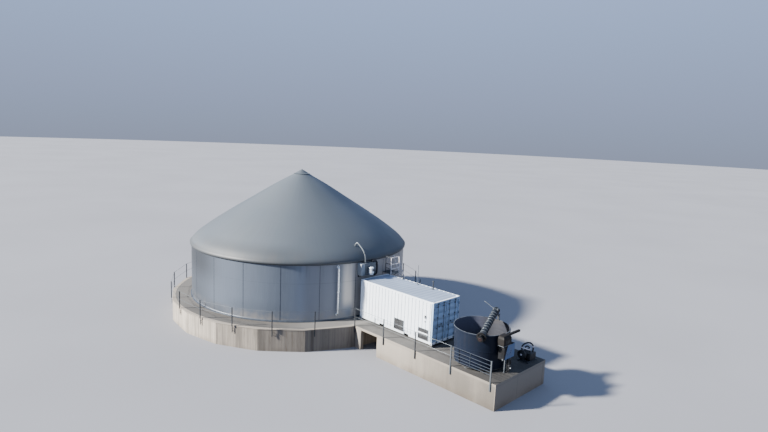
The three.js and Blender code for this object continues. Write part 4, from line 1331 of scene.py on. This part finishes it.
class DIGESTER_OT_doors(bpy.types.Operator):
    """Hang the two door leaves with their lock rods, handles and seals"""

    bl_idname = "digester.doors"
    bl_label = "Container doors"

    def execute(self, context):
        z0, z1 = DOOR_Z
        for side, hinge, (edge, free) in zip(("door_left", "door_right"), HINGE_LINES, LEAF_EDGES):
            way = 1 if free > edge else -1
            # The leaves take the doors' paint, whose darker blue grey paints the door end's shade.
            piece = Piece(f"container_{side}_leaf", "doors")
            low, high = sorted((edge, free))
            for y in (low + 0.004, high - 0.074):
                piece.take(block((14.692, y, z0 + 0.004), (14.738, y + 0.07, z1 - 0.004), 0.005))
            for z in (z0 + 0.004, z1 - 0.084):
                piece.take(block((14.692, low + 0.07, z), (14.738, high - 0.07, z + 0.08), 0.005))
            ribs = corrugation(z1 - z0 - 0.16, 0.43, 0.024)
            line = [(14.732 - inwards, low + 0.07, z0 + 0.08 + along) for along, inwards in ribs]
            piece.take(folded_sheet(line, (0, high - low - 0.14, 0)))
            for y in (low, high - 0.006):
                piece.take(block((14.7, y, z0), (14.734, y + 0.006, z1)), "rubber")
            for z in hinge_heights():
                low_z, high_z = z - KNUCKLE_HALF, z + KNUCKLE_HALF
                piece.take(drum((HINGE_X, hinge, low_z), (HINGE_X, hinge, high_z), KNUCKLE_R), "galvanised")
                for x, y in ((HINGE_X - 0.009, hinge), (14.735, edge + way * 0.006)):
                    piece.take(block((x, y, low_z), (HINGE_X + 0.003, edge + way * 0.07, high_z), 0.002))
            for share in ROD_SHARES:
                y = edge + share * (free - edge)
                metal = [drum((ROD_X, y, 1.66), (ROD_X, y, 4.09), 0.016)]
                for z in CAM_HEIGHTS:
                    metal.append(block((14.765, y - 0.03, z - 0.02), (14.797, y + 0.03, z + 0.02), 0.006))
                for level in (0.06, 0.35, 0.65, 0.94):
                    z = z0 + level * (z1 - z0)
                    metal.append(block((14.734, y - 0.05, z - 0.03), (14.766, y + 0.05, z + 0.03), 0.006))
                    metal.append(drum((ROD_X, y, z - 0.028), (ROD_X, y, z + 0.028), 0.023, soft=0.003))
                z, reach = (2.78, 0.36) if share < 0.5 else (2.64, -0.36)
                grip = y + way * reach
                metal.append(block((14.776, y, z - 0.011), (14.788, grip, z + 0.011), 0.004))
                metal.append(block((14.734, grip - 0.02, z - 0.05), (14.792, grip + 0.02, z + 0.04), 0.006))
                for shape in metal:
                    piece.take(shape, "galvanised")
            piece.done("container_paint", [f"container_{side}"], body=side)
        return {"FINISHED"}


class DIGESTER_OT_roof_fittings(bpy.types.Operator):
    """Stand the mast, the vent stub and the low cap on the container's roof"""

    bl_idname = "digester.roof_fittings"
    bl_label = "Container roof fittings"

    def execute(self, context):
        top = BOX_HI.z
        x, y = 11.48, 1.03
        mast = Piece("roof_mast_pipe", "galvanised")
        mast.take(block((x - 0.07, y - 0.07, top - 0.012), (x + 0.07, y + 0.07, top + 0.012), 0.003))
        for low, high, r, soft in ((0, 1.25, 0.016, 0), (1.25, 1.26, 0.02, 0.003), (0.01, 0.07, 0.03, 0.004)):
            mast.take(drum((x, y, top + low), (x, y, top + high), r, 16, soft))
        for bolt_x in (x - 0.045, x + 0.045):
            for bolt_y in (y - 0.045, y + 0.045):
                mast.take(drum((bolt_x, bolt_y, top + 0.01), (bolt_x, bolt_y, top + 0.028), 0.01, 6))
        mast.done("galvanised", ["roof_mast"])

        stub = Piece("roof_vent", "dark_steel")
        pipe = [(0, -0.012), (0.09, -0.012), (0.09, 0.01), (0.04, 0.025), (0.034, 0.05), (0.034, 0.49), (0, 0.49)]
        hood = [(0, 0.48), (0.06, 0.475), (0.062, 0.5), (0.04, 0.535), (0, 0.548)]
        for line in (pipe, hood):
            stub.take(turned([(r, top + z) for r, z in line], 24, (12.84, 0.97)))
        stub.done("galvanised", ["roof_vent_stub"])

        cap = Piece("roof_low_cap", "galvanised")
        line = [(0, -0.03), (0.07, -0.03), (0.06, 0.06), (0.09, 0.065), (0.07, 0.1), (0, 0.12)]
        cap.take(turned([(r, top + z) for r, z in line], 24, (10.08, 1.1)))
        cap.done("galvanised")
        return {"FINISHED"}


# Pipes, valve set and deck on the tank

def flange(piece, at, along, r, thick, bolts, paint):
    """A round flange across a pipe, with its bolts."""
    at, along = Vector(at), Vector(along).normalized()
    start, end = at - along * thick / 2, at + along * thick / 2
    piece.take(drum(start, end, r, 24, 0.003), paint)
    bolt = drum((r * 0.8, 0, -thick / 2 - 0.014), (r * 0.8, 0, thick / 2 + 0.014), 0.011, 6)
    piece.take(bolt, "dark_steel", even_turns(bolts, place=Matrix.Translation(at) @ turn_to(along)))


class DIGESTER_OT_tank_pipes(bpy.types.Operator):
    """Run the stainless side pipe up the cladding and the gas pipe over the eave"""

    bl_idname = "digester.tank_pipes"
    bl_label = "Tank pipes"

    def execute(self, context):
        side = Piece("stainless_side_pipe", "stainless")
        angle, low, high, r = -18.2, 1.85, 5.05, 0.06
        out, near, inside = TANK_R + 0.13, TANK_R + 0.06, TANK_R - 0.02
        route = [
            polar(inside, angle, low), polar(near, angle, low), polar(out, angle, low + 0.09),
            polar(out, angle, low + 0.25), polar(out, angle, (low + high) / 2), polar(out, angle, high - 0.25),
            polar(out, angle, high - 0.09), polar(near, angle, high), polar(inside, angle, high)]
        side.take(tube(smooth_path(route, 5), r, 20))
        for z in (low, high):
            side.take(drum(polar(TANK_R - 0.005, angle, z), polar(TANK_R + 0.02, angle, z), 0.1, 24, 0.004))
        for z in (2.35, 3.1, 3.9, 4.6):
            side.take(drum(polar(out, angle, z - 0.015), polar(out, angle, z + 0.015), r + 0.005, 24, 0.002))
            bracket = block((TANK_R - 0.004, -0.015, z - 0.015), (out - r + 0.01, 0.015, z + 0.015), 0.003)
            side.take(bracket, "galvanised", turned_about_z([angle]))
        flange(side, polar(out, angle, 3.45), (0, 0, 1), 0.082, 0.024, 8, "stainless")
        side.done("stainless", ["tank_side_pipe"])

        gas = Piece("gas_pipe_over_eave", "galvanised")
        x, y = 8.25, -0.67
        route = [
            (x, y, 5.1664), (x, y, 5.3), (x, y, 5.42), (x - 0.05, y, 5.68), (x - 0.25, y, 5.98),
            (7.7, y - 0.02, 6.24), (7.46, y - 0.05, 6.4), (7.32, y - 0.09, 6.3), (7.29, y - 0.11, 6.14)]
        gas.take(tube(smooth_path(route, 6), 0.052, 20))
        gas.take(drum((x, y, 5.1658), (x, y, 5.185), 0.08, 24, 0.003))
        flange(gas, (x - 0.13, y, 5.82), (-0.45, 0, 0.85), 0.078, 0.03, 8, "galvanised")
        normal = Vector((0.62, -0.07, 0.78)).normalized()
        seat = Vector((7.29, y - 0.11, 6.14))
        gas.take(drum(seat - normal * 0.05, seat + normal * 0.02, 0.17, 28, 0.01), "rubber")
        gas.take(drum(seat + normal * 0.015, seat + normal * 0.04, 0.12, 28, 0.005), "galvanised")
        gas.done("galvanised", ["gas_pipe"])
        return {"FINISHED"}


class DIGESTER_OT_relief_valve(bpy.types.Operator):
    """Mount the relief valve: cabinet on the cladding, white vessel in front and its rubber hose"""

    bl_idname = "digester.relief_valve"
    bl_label = "Relief valve set"

    def execute(self, context):
        y0, y1, z0, z1, out = -1.13, 0.18, 4.38, 5.165, 8.4
        split = -0.82
        cabinet = Piece("relief_valve_box", "galvanised")
        for start, end, paint in ((split + 0.004, y1, "galvanised"), (y0, split - 0.004, "valve_box")):
            cabinet.take(block((TANK_R - 0.09, start, z0), (out - 0.012, end, z1), 0.008, 2), paint)
        for start, end, paint in ((split, y1, "galvanised"), (y0, split, "valve_box")):
            low, high = (out - 0.014, start + 0.03, z0 + 0.03), (out, end - 0.03, z1 - 0.03)
            cabinet.take(block(low, high, 0.005, 2), paint)
        for z in (z0 + 0.15, z1 - 0.15):
            cabinet.take(drum((out, y1 - 0.03, z - 0.03), (out, y1 - 0.03, z + 0.03), 0.01, 10), "dark_steel")
        # The vent slots are dark strips that paint the shade inside them.
        for i in range(6):
            z = z0 + 0.1 + 0.03 * i
            slot = block((out - 0.003, -0.16, z), (out + 0.006, y1 - 0.08, z + 0.012), 0.002)
            cabinet.take(slot, "dark_steel")
        for y in (y0 + 0.08, y1 - 0.08):
            cabinet.take(block((TANK_R - 0.08, y - 0.02, z0 - 0.16), (TANK_R + 0.02, y + 0.02, z0)), "dark_steel")
            cabinet.take(drum((TANK_R + 0.005, y, z0 - 0.14), (out - 0.05, y, z0 + 0.004), 0.014, 8), "dark_steel")
        cabinet.done("galvanised", ["relief_valve_cabinet"])

        vessel = Piece("relief_valve_drum", "white")
        x, y, r, low, high = 8.65, -0.48, 0.165, 4.45, 4.96
        shell = [
            (0, low), (0.09, low + 0.005), (0.14, low + 0.022), (r, low + 0.06), (r, high - 0.06),
            (0.14, high - 0.022), (0.09, high - 0.005), (0, high)]
        vessel.take(turned(shell, 40, (x, y)))
        for z in (low + 0.1, high - 0.1):
            hoop = [(r - 0.002, z - 0.012), (r + 0.004, z - 0.012), (r + 0.004, z + 0.012), (r - 0.002, z + 0.012)]
            vessel.take(turned(hoop, 40, (x, y), ring=True), "galvanised")
        z = 4.7
        vessel.take(drum((out + 0.0004, y, z), (x - r + 0.01, y, z), 0.06, 20), "galvanised")
        vessel.take(drum((out + 0.0004, y, z), (out + 0.012, y, z), 0.095, 20, 0.003), "galvanised")
        z = 4.77
        vessel.take(drum((x + 0.13, y, z), (x + 0.22, y, z), 0.075, 20, 0.006), "rubber")
        vessel.take(drum((x, y, high - 0.01), (x, y, high + 0.02), 0.04, 16, 0.004), "galvanised")
        vessel.done("container_paint", ["relief_valve_vessel"])

        # Both ends of this moulded hose are fixed, so it keeps its bends
        hose = Piece("relief_valve_rubber_hose", "rubber")
        hang, side = 8.28, 0.39
        route = [
            (hang, -0.07, z1 + 0.014), (hang, -0.07, z1 + 0.035), (hang, 0, z1 + 0.08), (hang, 0.12, z1 + 0.08),
            (hang, 0.26, z1 + 0.035), (hang, side - 0.03, z1 - 0.085), (hang, side, 4.8),
            (hang, side - 0.005, 4.48), (hang - 0.035, side - 0.012, 4.31), (hang - 0.13, side - 0.02, 4.23),
            (TANK_R - 0.02, side - 0.025, 4.2)]
        hose.take(tube(smooth_path(route, 4), 0.063, 16))
        hose.take(drum((hang, -0.07, z1 + 0.013), (hang, -0.07, z1 + 0.05), 0.09, 20, 0.006), "machine")
        wall_flange = drum((TANK_R - 0.004, side - 0.025, 4.2), (TANK_R + 0.03, side - 0.025, 4.2), 0.085, 20, 0.004)
        hose.take(wall_flange, "galvanised")
        hose.done("hose_rubber", ["relief_valve_hose"])
        return {"FINISHED"}


class DIGESTER_OT_deck(bpy.types.Operator):
    """Hang the inspection deck on the cladding, with its grating, guard rail and ladder"""

    bl_idname = "digester.deck"
    bl_label = "Inspection deck and ladder"

    def execute(self, context):
        y0, y1, out, z = 1.29, 2.11, 8.75, 4.25
        deck = Piece("deck_grating", "galvanised")
        inner = 7.86
        for y in (y0, y1 - 0.05):
            deck.take(block((inner, y, z - 0.05), (out, y + 0.05, z), 0.003))
        deck.take(block((out - 0.05, y0 + 0.05, z - 0.05), (out, y1 - 0.05, z), 0.003))
        gap = sizes().grating_gap
        for i in range(1, int((y1 - y0 - 0.1) / gap)):
            y = y0 + 0.05 + gap * i
            deck.take(block((inner, y - 0.003, z - 0.035), (out - 0.05, y + 0.003, z - 0.003)))
        for i in range(8):
            x = 8.02 + 0.09 * i
            deck.take(drum((x, y0 + 0.05, z - 0.01), (x, y1 - 0.05, z - 0.01), 0.005, 6))
        for y in (y0 + 0.04, y1 - 0.04):
            deck.take(drum((out - 0.08, y, z - 0.04), (TANK_R - 0.12, y, z - 0.56), 0.022, 12))
            deck.take(block((TANK_R - 0.25, y - 0.05, z - 0.62), (TANK_R - 0.1, y + 0.05, z - 0.44), 0.004))
        deck.done("galvanised", ["inspection_deck"])

        rail = Piece("deck_guard_tubes", "aluminium")
        back, front, top = ROOF_R + 0.04, out - 0.02, 5.35
        near, far = y0 + 0.02, y1 - 0.02
        # The back post and the near side's rails take dark steel, painting the shade on that side of the pale rail.
        for x, y, paint in ((front, near, "aluminium"), (front, far, "aluminium"), (back, near, "dark_steel")):
            rail.take(drum((x, y, z + 0.0004), (x, y, top), 0.026, 16), paint)
            rail.take(drum((x, y, z + 0.0004), (x, y, z + 0.014), 0.05, 16, 0.003), paint)
        for level in (4.56, 4.87, top):
            rail.take(drum((back, near, level), (front, near, level), 0.021, 14), "dark_steel")
            rail.take(drum((front, near, level), (front, far, level), 0.021, 14))
        rail.take(block((back, near - 0.008, z + 0.001), (out, near - 0.002, z + 0.12)), "galvanised")
        rail.take(block((out - 0.008, near, z + 0.001), (out - 0.002, far, z + 0.12)), "galvanised")
        rail.done("galvanised", ["deck_guard_rail"])

        ladder = Piece("deck_ladder_tubes", "aluminium")
        foot, top = Vector((0, 3.98, WALK_Z + 0.0124)), Vector((0, 2.31, 5.26))
        sides = (7.96, 8.42)
        for x in sides:
            side = Vector((x, 0, 0))
            ladder.take(drum(side + foot, side + top, 0.025, 14, 0.004))
            ladder.take(block((x - 0.04, 3.92, WALK_Z + 0.0004), (x + 0.04, 4.04, WALK_Z + 0.022), 0.005), "rubber")
        for i in range(1, 15):
            at = foot.lerp(top, i / 15 * 0.97)
            ladder.take(drum(*(at + Vector((x, 0, 0)) for x in sides), 0.014, 10))
        ladder.done("galvanised", ["deck_ladder"])
        return {"FINISHED"}


# Solids feeder

def on_auger(distance):
    """The point on the auger's axis at this distance up from its lower end."""
    return AUGER_LOW + AUGER_ALONG * distance


def collar(start, end, r, sides, soft=0.0):
    """Round piece on the auger's axis between two distances up from its lower end."""
    return drum(on_auger(start), on_auger(end), r, sides, soft)


class DIGESTER_OT_feeder_tub(bpy.types.Operator):
    """Roll the feeder tub with its worn rim, hoops, lining and the base ring on its feet"""

    bl_idname = "digester.feeder_tub"
    bl_label = "Feeder tub"

    def execute(self, context):
        centre = (TUB.x, TUB.y)
        tub = Piece("feeder_tub_shell", "tub")
        low, band, high = 1.6, 3.44, TUB_RIM_Z
        shell = [
            (1.38, low), (1.41, low), (1.541, band), (1.556, band + 0.006), (1.565, band + 0.03),
            (1.565, high - 0.016), (1.558, high - 0.004), (1.548, high), (1.53, high), (1.52, high - 0.006)]
        tub.take(turned(shell, 96, centre, ring=True))
        lining = [(1.376, low + 0.002), (1.379, low + 0.002), (1.5195, high - 0.008), (1.5165, high - 0.008)]
        tub.take(turned(lining, 96, centre, ring=True), "lining")
        for z in (1.66, 2.6):
            r = 1.41 + 0.14 * (z - low) / (high - low)
            hoop = [(r - 0.004, z - 0.02), (r + 0.008, z - 0.016), (r + 0.008, z + 0.016), (r - 0.002, z + 0.02)]
            tub.take(turned(hoop, 96, centre, ring=True))
        tub.take(collar(-0.11, 0.1, 0.2, 28, 0.006), "machine")
        tub.done("tub_paint", ["feeder_tub"])
        paint_node("feeder_tub_floor", "lining")

        base = Piece("feeder_base", "machine")
        base.take(turned([(1.12, 1.505), (1.35, 1.505), (1.35, 1.568), (1.12, 1.568)], 72, centre, ring=True))
        base.take(turned([(0, 1.571), (1.43, 1.571), (1.435, 1.58), (1.43, 1.599), (0, 1.599)], 96, centre))
        for i in range(6):
            angle = 30 + 60 * i
            spot = polar(1.235, angle) + Vector((*centre, 0))
            plates = ((0.09, WALK_Z, WALK_Z + 0.02, "galvanised"), (0.05, WALK_Z + 0.018, 1.51, None))
            for half, z0, z1, paint in plates:
                reach = Vector((half, half, 0))
                base.take(block(spot - reach + Vector((0, 0, z0)), spot + reach + Vector((0, 0, z1)), 0.004), paint)
            for x in (-0.065, 0.065):
                for y in (-0.065, 0.065):
                    at = spot + Vector((x, y, WALK_Z + 0.018))
                    base.take(drum(at, at + Vector((0, 0, 0.022)), 0.01, 6), "dark_steel")
        base.done("tub_paint", ["feeder_base_ring"])
        return {"FINISHED"}


class DIGESTER_OT_auger(bpy.types.Operator):
    """Lay the auger over the tub: ribbed tube, flanged gear motor, end collar, reach rod and bracket"""

    bl_idname = "digester.auger"
    bl_label = "Feed auger"

    def execute(self, context):
        auger = Piece("auger_ribbed_tube", "slate")
        auger.take(collar(-0.15, AUGER_LONG, 0.167, 36))
        gap = sizes().auger_ring_gap
        for i in range(int((AUGER_LONG - 0.3) / gap)):
            at = 0.2 + gap * i
            auger.take(collar(at - 0.014, at + 0.014, 0.186, 36, 0.005), "galvanised")
        auger.take(collar(AUGER_LONG - 0.06, AUGER_LONG - 0.03, 0.205, 32, 0.004))
        flange(auger, on_auger(AUGER_LONG - 0.012), AUGER_ALONG, 0.208, 0.022, 10, "slate")
        side = AUGER_ALONG.cross(Vector((0, 0, 1))).normalized()
        for offset in (-0.1, 0.13):
            start = on_auger(AUGER_LONG - 0.3) + side * offset + Vector((0, 0, 0.15))
            auger.take(drum(start, start + AUGER_ALONG * 0.18, 0.045, 16, 0.006), "galvanised")
            auger.take(drum(start + AUGER_ALONG * 0.04, start + AUGER_ALONG * 0.07, 0.055, 16, 0.004), "dark_steel")
        auger.take(drum(on_auger(AUGER_LONG - 0.04), (16.65, 1.2, 4.32), 0.011, 12), "galvanised")
        auger.take(drum((16.66, 1.196, 4.319), (16.6, 1.21, 4.325), 0.02, 12, 0.004), "galvanised")
        auger.done("galvanised", ["auger_tube"])

        drive = Piece("auger_gear_motor", "motor")
        face, back = -0.1504, -0.2104
        flange(drive, on_auger((face + back) / 2), AUGER_ALONG, 0.268, 0.058, 14, "motor")
        drive.take(collar(back - 0.2, back + 0.01, 0.15, 32, 0.01))
        fins = even_turns(20, place=Matrix.Translation(AUGER_LOW) @ turn_to(AUGER_ALONG))
        drive.take(block((0.14, -0.004, back - 0.18), (0.172, 0.004, back - 0.02)), "motor", fins)
        drive.take(collar(back - 0.225, back - 0.195, 0.168, 32, 0.008))
        drive.take(collar(back - 0.235, back - 0.22, 0.095, 28, 0.005), "oxide")
        drive.take(collar(back - 0.24, back - 0.23, 0.035, 16, 0.003))
        box_at = on_auger(back - 0.1) + Vector((0, 0, 0.15))
        reach = Vector((0.06, 0.05, 0.04))
        drive.take(block(box_at - reach, box_at + reach, 0.008))
        drive.done("dark_metal", ["auger_motor"])

        bracket = Piece("auger_bracket_plates", "dark_steel")
        seat = on_auger(AUGER_LONG - 0.2)
        rim = TUB.y + math.sqrt(1.535 ** 2 - (seat.x - TUB.x) ** 2)
        near, far = min(seat.y, rim) - 0.05, max(seat.y, rim) + 0.02
        low = TUB_RIM_Z + 0.001
        bracket.take(block((seat.x - 0.06, rim - 0.04, low), (seat.x + 0.06, rim + 0.02, seat.z - 0.19), 0.004))
        bracket.take(block((seat.x - 0.1, rim - 0.06, low), (seat.x + 0.1, rim + 0.03, low + 0.014), 0.003))
        bracket.take(block((seat.x - 0.09, near, seat.z - 0.235), (seat.x + 0.09, far, seat.z - 0.19), 0.004))
        bracket.take(drum(seat - AUGER_ALONG * 0.03, seat + AUGER_ALONG * 0.03, 0.192, 36, 0.004))
        for way in (-1, 1):
            spot = seat + Vector((way * 0.07, 0, -0.19))
            bracket.take(drum(spot, spot + Vector((0, 0, -0.06)), 0.012, 6), "galvanised")
        bracket.done("galvanised", ["auger_bracket"])
        return {"FINISHED"}


class DIGESTER_OT_drive_unit(bpy.types.Operator):
    """Hang the feeder's drive housing, cabinet and guard sheet beside the tub, over its standing pump"""

    bl_idname = "digester.drive_unit"
    bl_label = "Feeder drive unit"

    def execute(self, context):
        unit = Piece("feeder_drive_housing", "drive")
        x = 19.2654
        hood = block((x, -1.27, 3.09), (x + 0.375, -0.55, 3.64))
        top = [
            edge for edge in hood.edges
            if min(v.co.z for v in edge.verts) > 3.6 and max(v.co.x for v in edge.verts) > x + 0.3]
        ease(hood, top, 0.2, 7)
        unit.take(hood)
        unit.take(block((x, -1.276, 3.085), (x + 0.382, -0.544, 3.115), 0.006), "galvanised")
        for y in (-1.16, -0.66):
            unit.take(block((x + 0.05, y - 0.012, 3.12), (x + 0.379, y + 0.012, 3.5), 0.004))
        for i in range(6):
            y = -1.06 + 0.055 * i
            unit.take(block((x + 0.372, y, 3.2), (x + 0.38, y + 0.025, 3.4), 0.003), "machine")

        unit.take(block((x, -1.15, 2.33), (x + 0.372, -0.2, 3.1), 0.012, 2), "motor")
        unit.take(block((x + 0.03, -1.154, 2.37), (x + 0.34, -1.14, 3.06), 0.004), "motor")
        for z in (2.42, 3.0):
            for at in (0.055, 0.315):
                unit.take(drum((x + at, -1.15, z), (x + at, -1.158, z), 0.01, 6), "dark_steel")
        corners = ((-0.84, 3.085), (-0.2, 3.085), (-0.2, 2.345), (-1.1, 2.345), (-0.95, 2.8))
        sheet = prism([(x + 0.37, y, z) for y, z in corners], (0.012, 0, 0))
        unit.take(sheet, "guard")
        unit.take(block((x + 0.38, -0.62, 2.4), (x + 0.385, -0.58, 3.06), 0.002), "guard")
        unit.take(drum((x + 0.3, -1.149, 2.36), (x + 0.3, -1.17, 2.36), 0.045, 20, 0.004), "galvanised")

        unit.take(block((x, -0.65, 3.42), (x + 0.12, 0.7, 3.54), 0.006), "drive")
        for y in (-0.4, 0.1, 0.6):
            unit.take(drum((x + 0.118, y, 3.48), (x + 0.134, y, 3.48), 0.016, 6), "dark_steel")
        for off, y in ((0.145, -0.675), (0.06, -0.33)):
            leg_x = x + off
            leg = block((leg_x - 0.025, y - 0.025, 1.47), (leg_x + 0.025, y + 0.025, 2.34), 0.004)
            unit.take(leg, "galvanised")
            unit.take(block((leg_x - 0.06, y - 0.06, WALK_Z), (leg_x + 0.06, y + 0.06, 1.475), 0.004), "dark_steel")
            for side in (-0.042, 0.042):
                at = Vector((leg_x + side, y + side, 1.47))
                unit.take(drum(at, at + Vector((0, 0, 0.02)), 0.009, 6), "dark_steel")

        px, py = x + 0.25, -0.43
        line = [
            (0, WALK_Z), (0.125, WALK_Z), (0.125, 1.475), (0.08, 1.485), (0.08, 1.56), (0.11, 1.6), (0.11, 1.82),
            (0.125, 1.83), (0.125, 1.87), (0.1, 1.89), (0.1, 2.2), (0.075, 2.26), (0.075, 2.34), (0, 2.34)]
        unit.take(turned(line, 28, (px, py)), "machine")
        fins = even_turns(16, place=Matrix.Translation((px, py, 0)))
        unit.take(block((0.095, -0.004, 1.92), (0.118, 0.004, 2.18)), "machine", fins)
        unit.take(drum((px + 0.08, py, 1.71), (px + 0.16, py, 1.71), 0.045, 16, 0.004), "galvanised")
        unit.done("drive_paint", ["feeder_drive_unit"])
        return {"FINISHED"}


class DIGESTER_OT_pump_unit(bpy.types.Operator):
    """Set the feed pump on its skid: round casing, finned motor, gearbox and moulded hoses"""

    bl_idname = "digester.pump_unit"
    bl_label = "Pump unit"

    def execute(self, context):
        unit = Piece("feed_pump_set", "machine")
        x, y, z = 19.15, 1.35, 1.83
        unit.take(block((18.95, y, WALK_Z), (19.65, y + 1.0, WALK_Z + 0.02), 0.004), "dark_steel")
        for px in (18.96, 19.57):
            runner = block((px, y + 0.01, WALK_Z + 0.018), (px + 0.07, y + 0.99, WALK_Z + 0.08), 0.004)
            unit.take(runner, "dark_steel")
        for py in (y + 0.1, y + 0.45, y + 0.85):
            unit.take(block((18.97, py, WALK_Z + 0.03), (19.63, py + 0.06, WALK_Z + 0.078), 0.004), "dark_steel")

        on_axis = (
            (0.06, 0.25, 0.245, 36, 0.03, None), (0.045, 0.07, 0.17, 28, 0.01, "dark_steel"),
            (0.03, 0.05, 0.06, 20, 0.005, "aluminium"), (0.26, 0.88, 0.148, 28, 0.012, None),
            (0.8, 0.9, 0.165, 28, 0.02, "dark_steel"))
        for start, end, r, sides, soft, paint in on_axis:
            unit.take(drum((x, y + start, z), (x, y + end, z), r, sides, soft), paint)
        for at in (y + 0.08, y + 0.24):
            flange(unit, (x, at, z), (0, 1, 0), 0.258, 0.022, 12, "machine")
        fins = even_turns(24, "Y", Matrix.Translation((x, 0, z)))
        unit.take(block((0.14, y + 0.32, -0.003), (0.168, y + 0.78, 0.003)), "machine", fins)
        unit.take(block((x - 0.1, y + 0.1, WALK_Z + 0.07), (x + 0.1, y + 0.85, 1.72), 0.01))
        unit.take(block((x + 0.2, y + 0.32, WALK_Z + 0.07), (x + 0.45, y + 0.9, 1.93), 0.03, 3))
        unit.take(block((x + 0.23, y + 0.42, 1.925), (x + 0.42, y + 0.8, 1.945), 0.006), "dark_steel")
        for py in (y + 0.45, y + 0.61, y + 0.77):
            unit.take(block((x + 0.445, py - 0.012, 1.56), (x + 0.465, py + 0.012, 1.9), 0.004))

        # The hoses are moulded to these bends and clamped at both ends
        loop = [
            (x, y + 0.16, z + 0.2), (x - 0.05, y + 0.15, z + 0.42), (x + 0.06, y + 0.28, z + 0.62),
            (x + 0.24, y + 0.48, z + 0.67), (x + 0.37, y + 0.64, z + 0.48), (x + 0.36, y + 0.66, z + 0.06)]
        bend = [
            (x + 0.02, y + 0.42, z + 0.12), (x + 0.01, y + 0.4, z + 0.33), (x + 0.12, y + 0.45, z + 0.44),
            (x + 0.25, y + 0.5, z + 0.33), (x + 0.27, y + 0.49, z + 0.06)]
        for route, r in ((loop, 0.044), (bend, 0.039)):
            path = smooth_path(route, 5)
            unit.take(tube(path, r, 14), "rubber")
            for start, end in ((path[4], path[5]), (path[-6], path[-5])):
                unit.take(drum(start, end, r + 0.01, 16, 0.003), "aluminium")
        unit.take(drum((x + 0.03, y + 0.2, z + 0.36), (x + 0.3, y + 0.5, z + 0.24), 0.03, 14, 0.004), "aluminium")
        unit.done("dark_metal", ["pump_unit"])
        return {"FINISHED"}


PIECE_STEPS = (
    DIGESTER_OT_stage,
    DIGESTER_OT_cladding,
    DIGESTER_OT_membrane_roof,
    DIGESTER_OT_ring_wall,
    DIGESTER_OT_platform,
    DIGESTER_OT_ring_railing,
    DIGESTER_OT_platform_railing,
    DIGESTER_OT_container,
    DIGESTER_OT_louvres,
    DIGESTER_OT_door_frame,
    DIGESTER_OT_doors,
    DIGESTER_OT_roof_fittings,
    DIGESTER_OT_tank_pipes,
    DIGESTER_OT_relief_valve,
    DIGESTER_OT_deck,
    DIGESTER_OT_feeder_tub,
    DIGESTER_OT_auger,
    DIGESTER_OT_drive_unit,
    DIGESTER_OT_pump_unit,
)


class DIGESTER_PT_pieces(bpy.types.Panel):
    """The digester's sizes, colours and pieces"""

    bl_idname = "DIGESTER_PT_pieces"
    bl_label = "Digester"
    bl_space_type = "VIEW_3D"
    bl_region_type = "UI"
    bl_category = "Digester"

    def draw(self, context):
        for group in (context.scene.digester_sizes, context.scene.digester_colours):
            box = self.layout.box()
            for name in group.__annotations__:
                box.prop(group, name)
        for step in PIECE_STEPS:
            self.layout.operator(step.bl_idname)


CLASSES = (DigesterSizes, DigesterColours, *PIECE_STEPS, DIGESTER_PT_pieces)


def register():
    for made in CLASSES:
        bpy.utils.register_class(made)
    bpy.types.Scene.digester_sizes = bpy.props.PointerProperty(type=DigesterSizes)
    bpy.types.Scene.digester_colours = bpy.props.PointerProperty(type=DigesterColours)


def unregister():
    del bpy.types.Scene.digester_colours
    del bpy.types.Scene.digester_sizes
    for made in reversed(CLASSES):
        bpy.utils.unregister_class(made)


def main():
    register()
    for step in PIECE_STEPS:
        group, name = step.bl_idname.split(".")
        getattr(getattr(bpy.ops, group), name)()


if __name__ == "__main__":
    main()
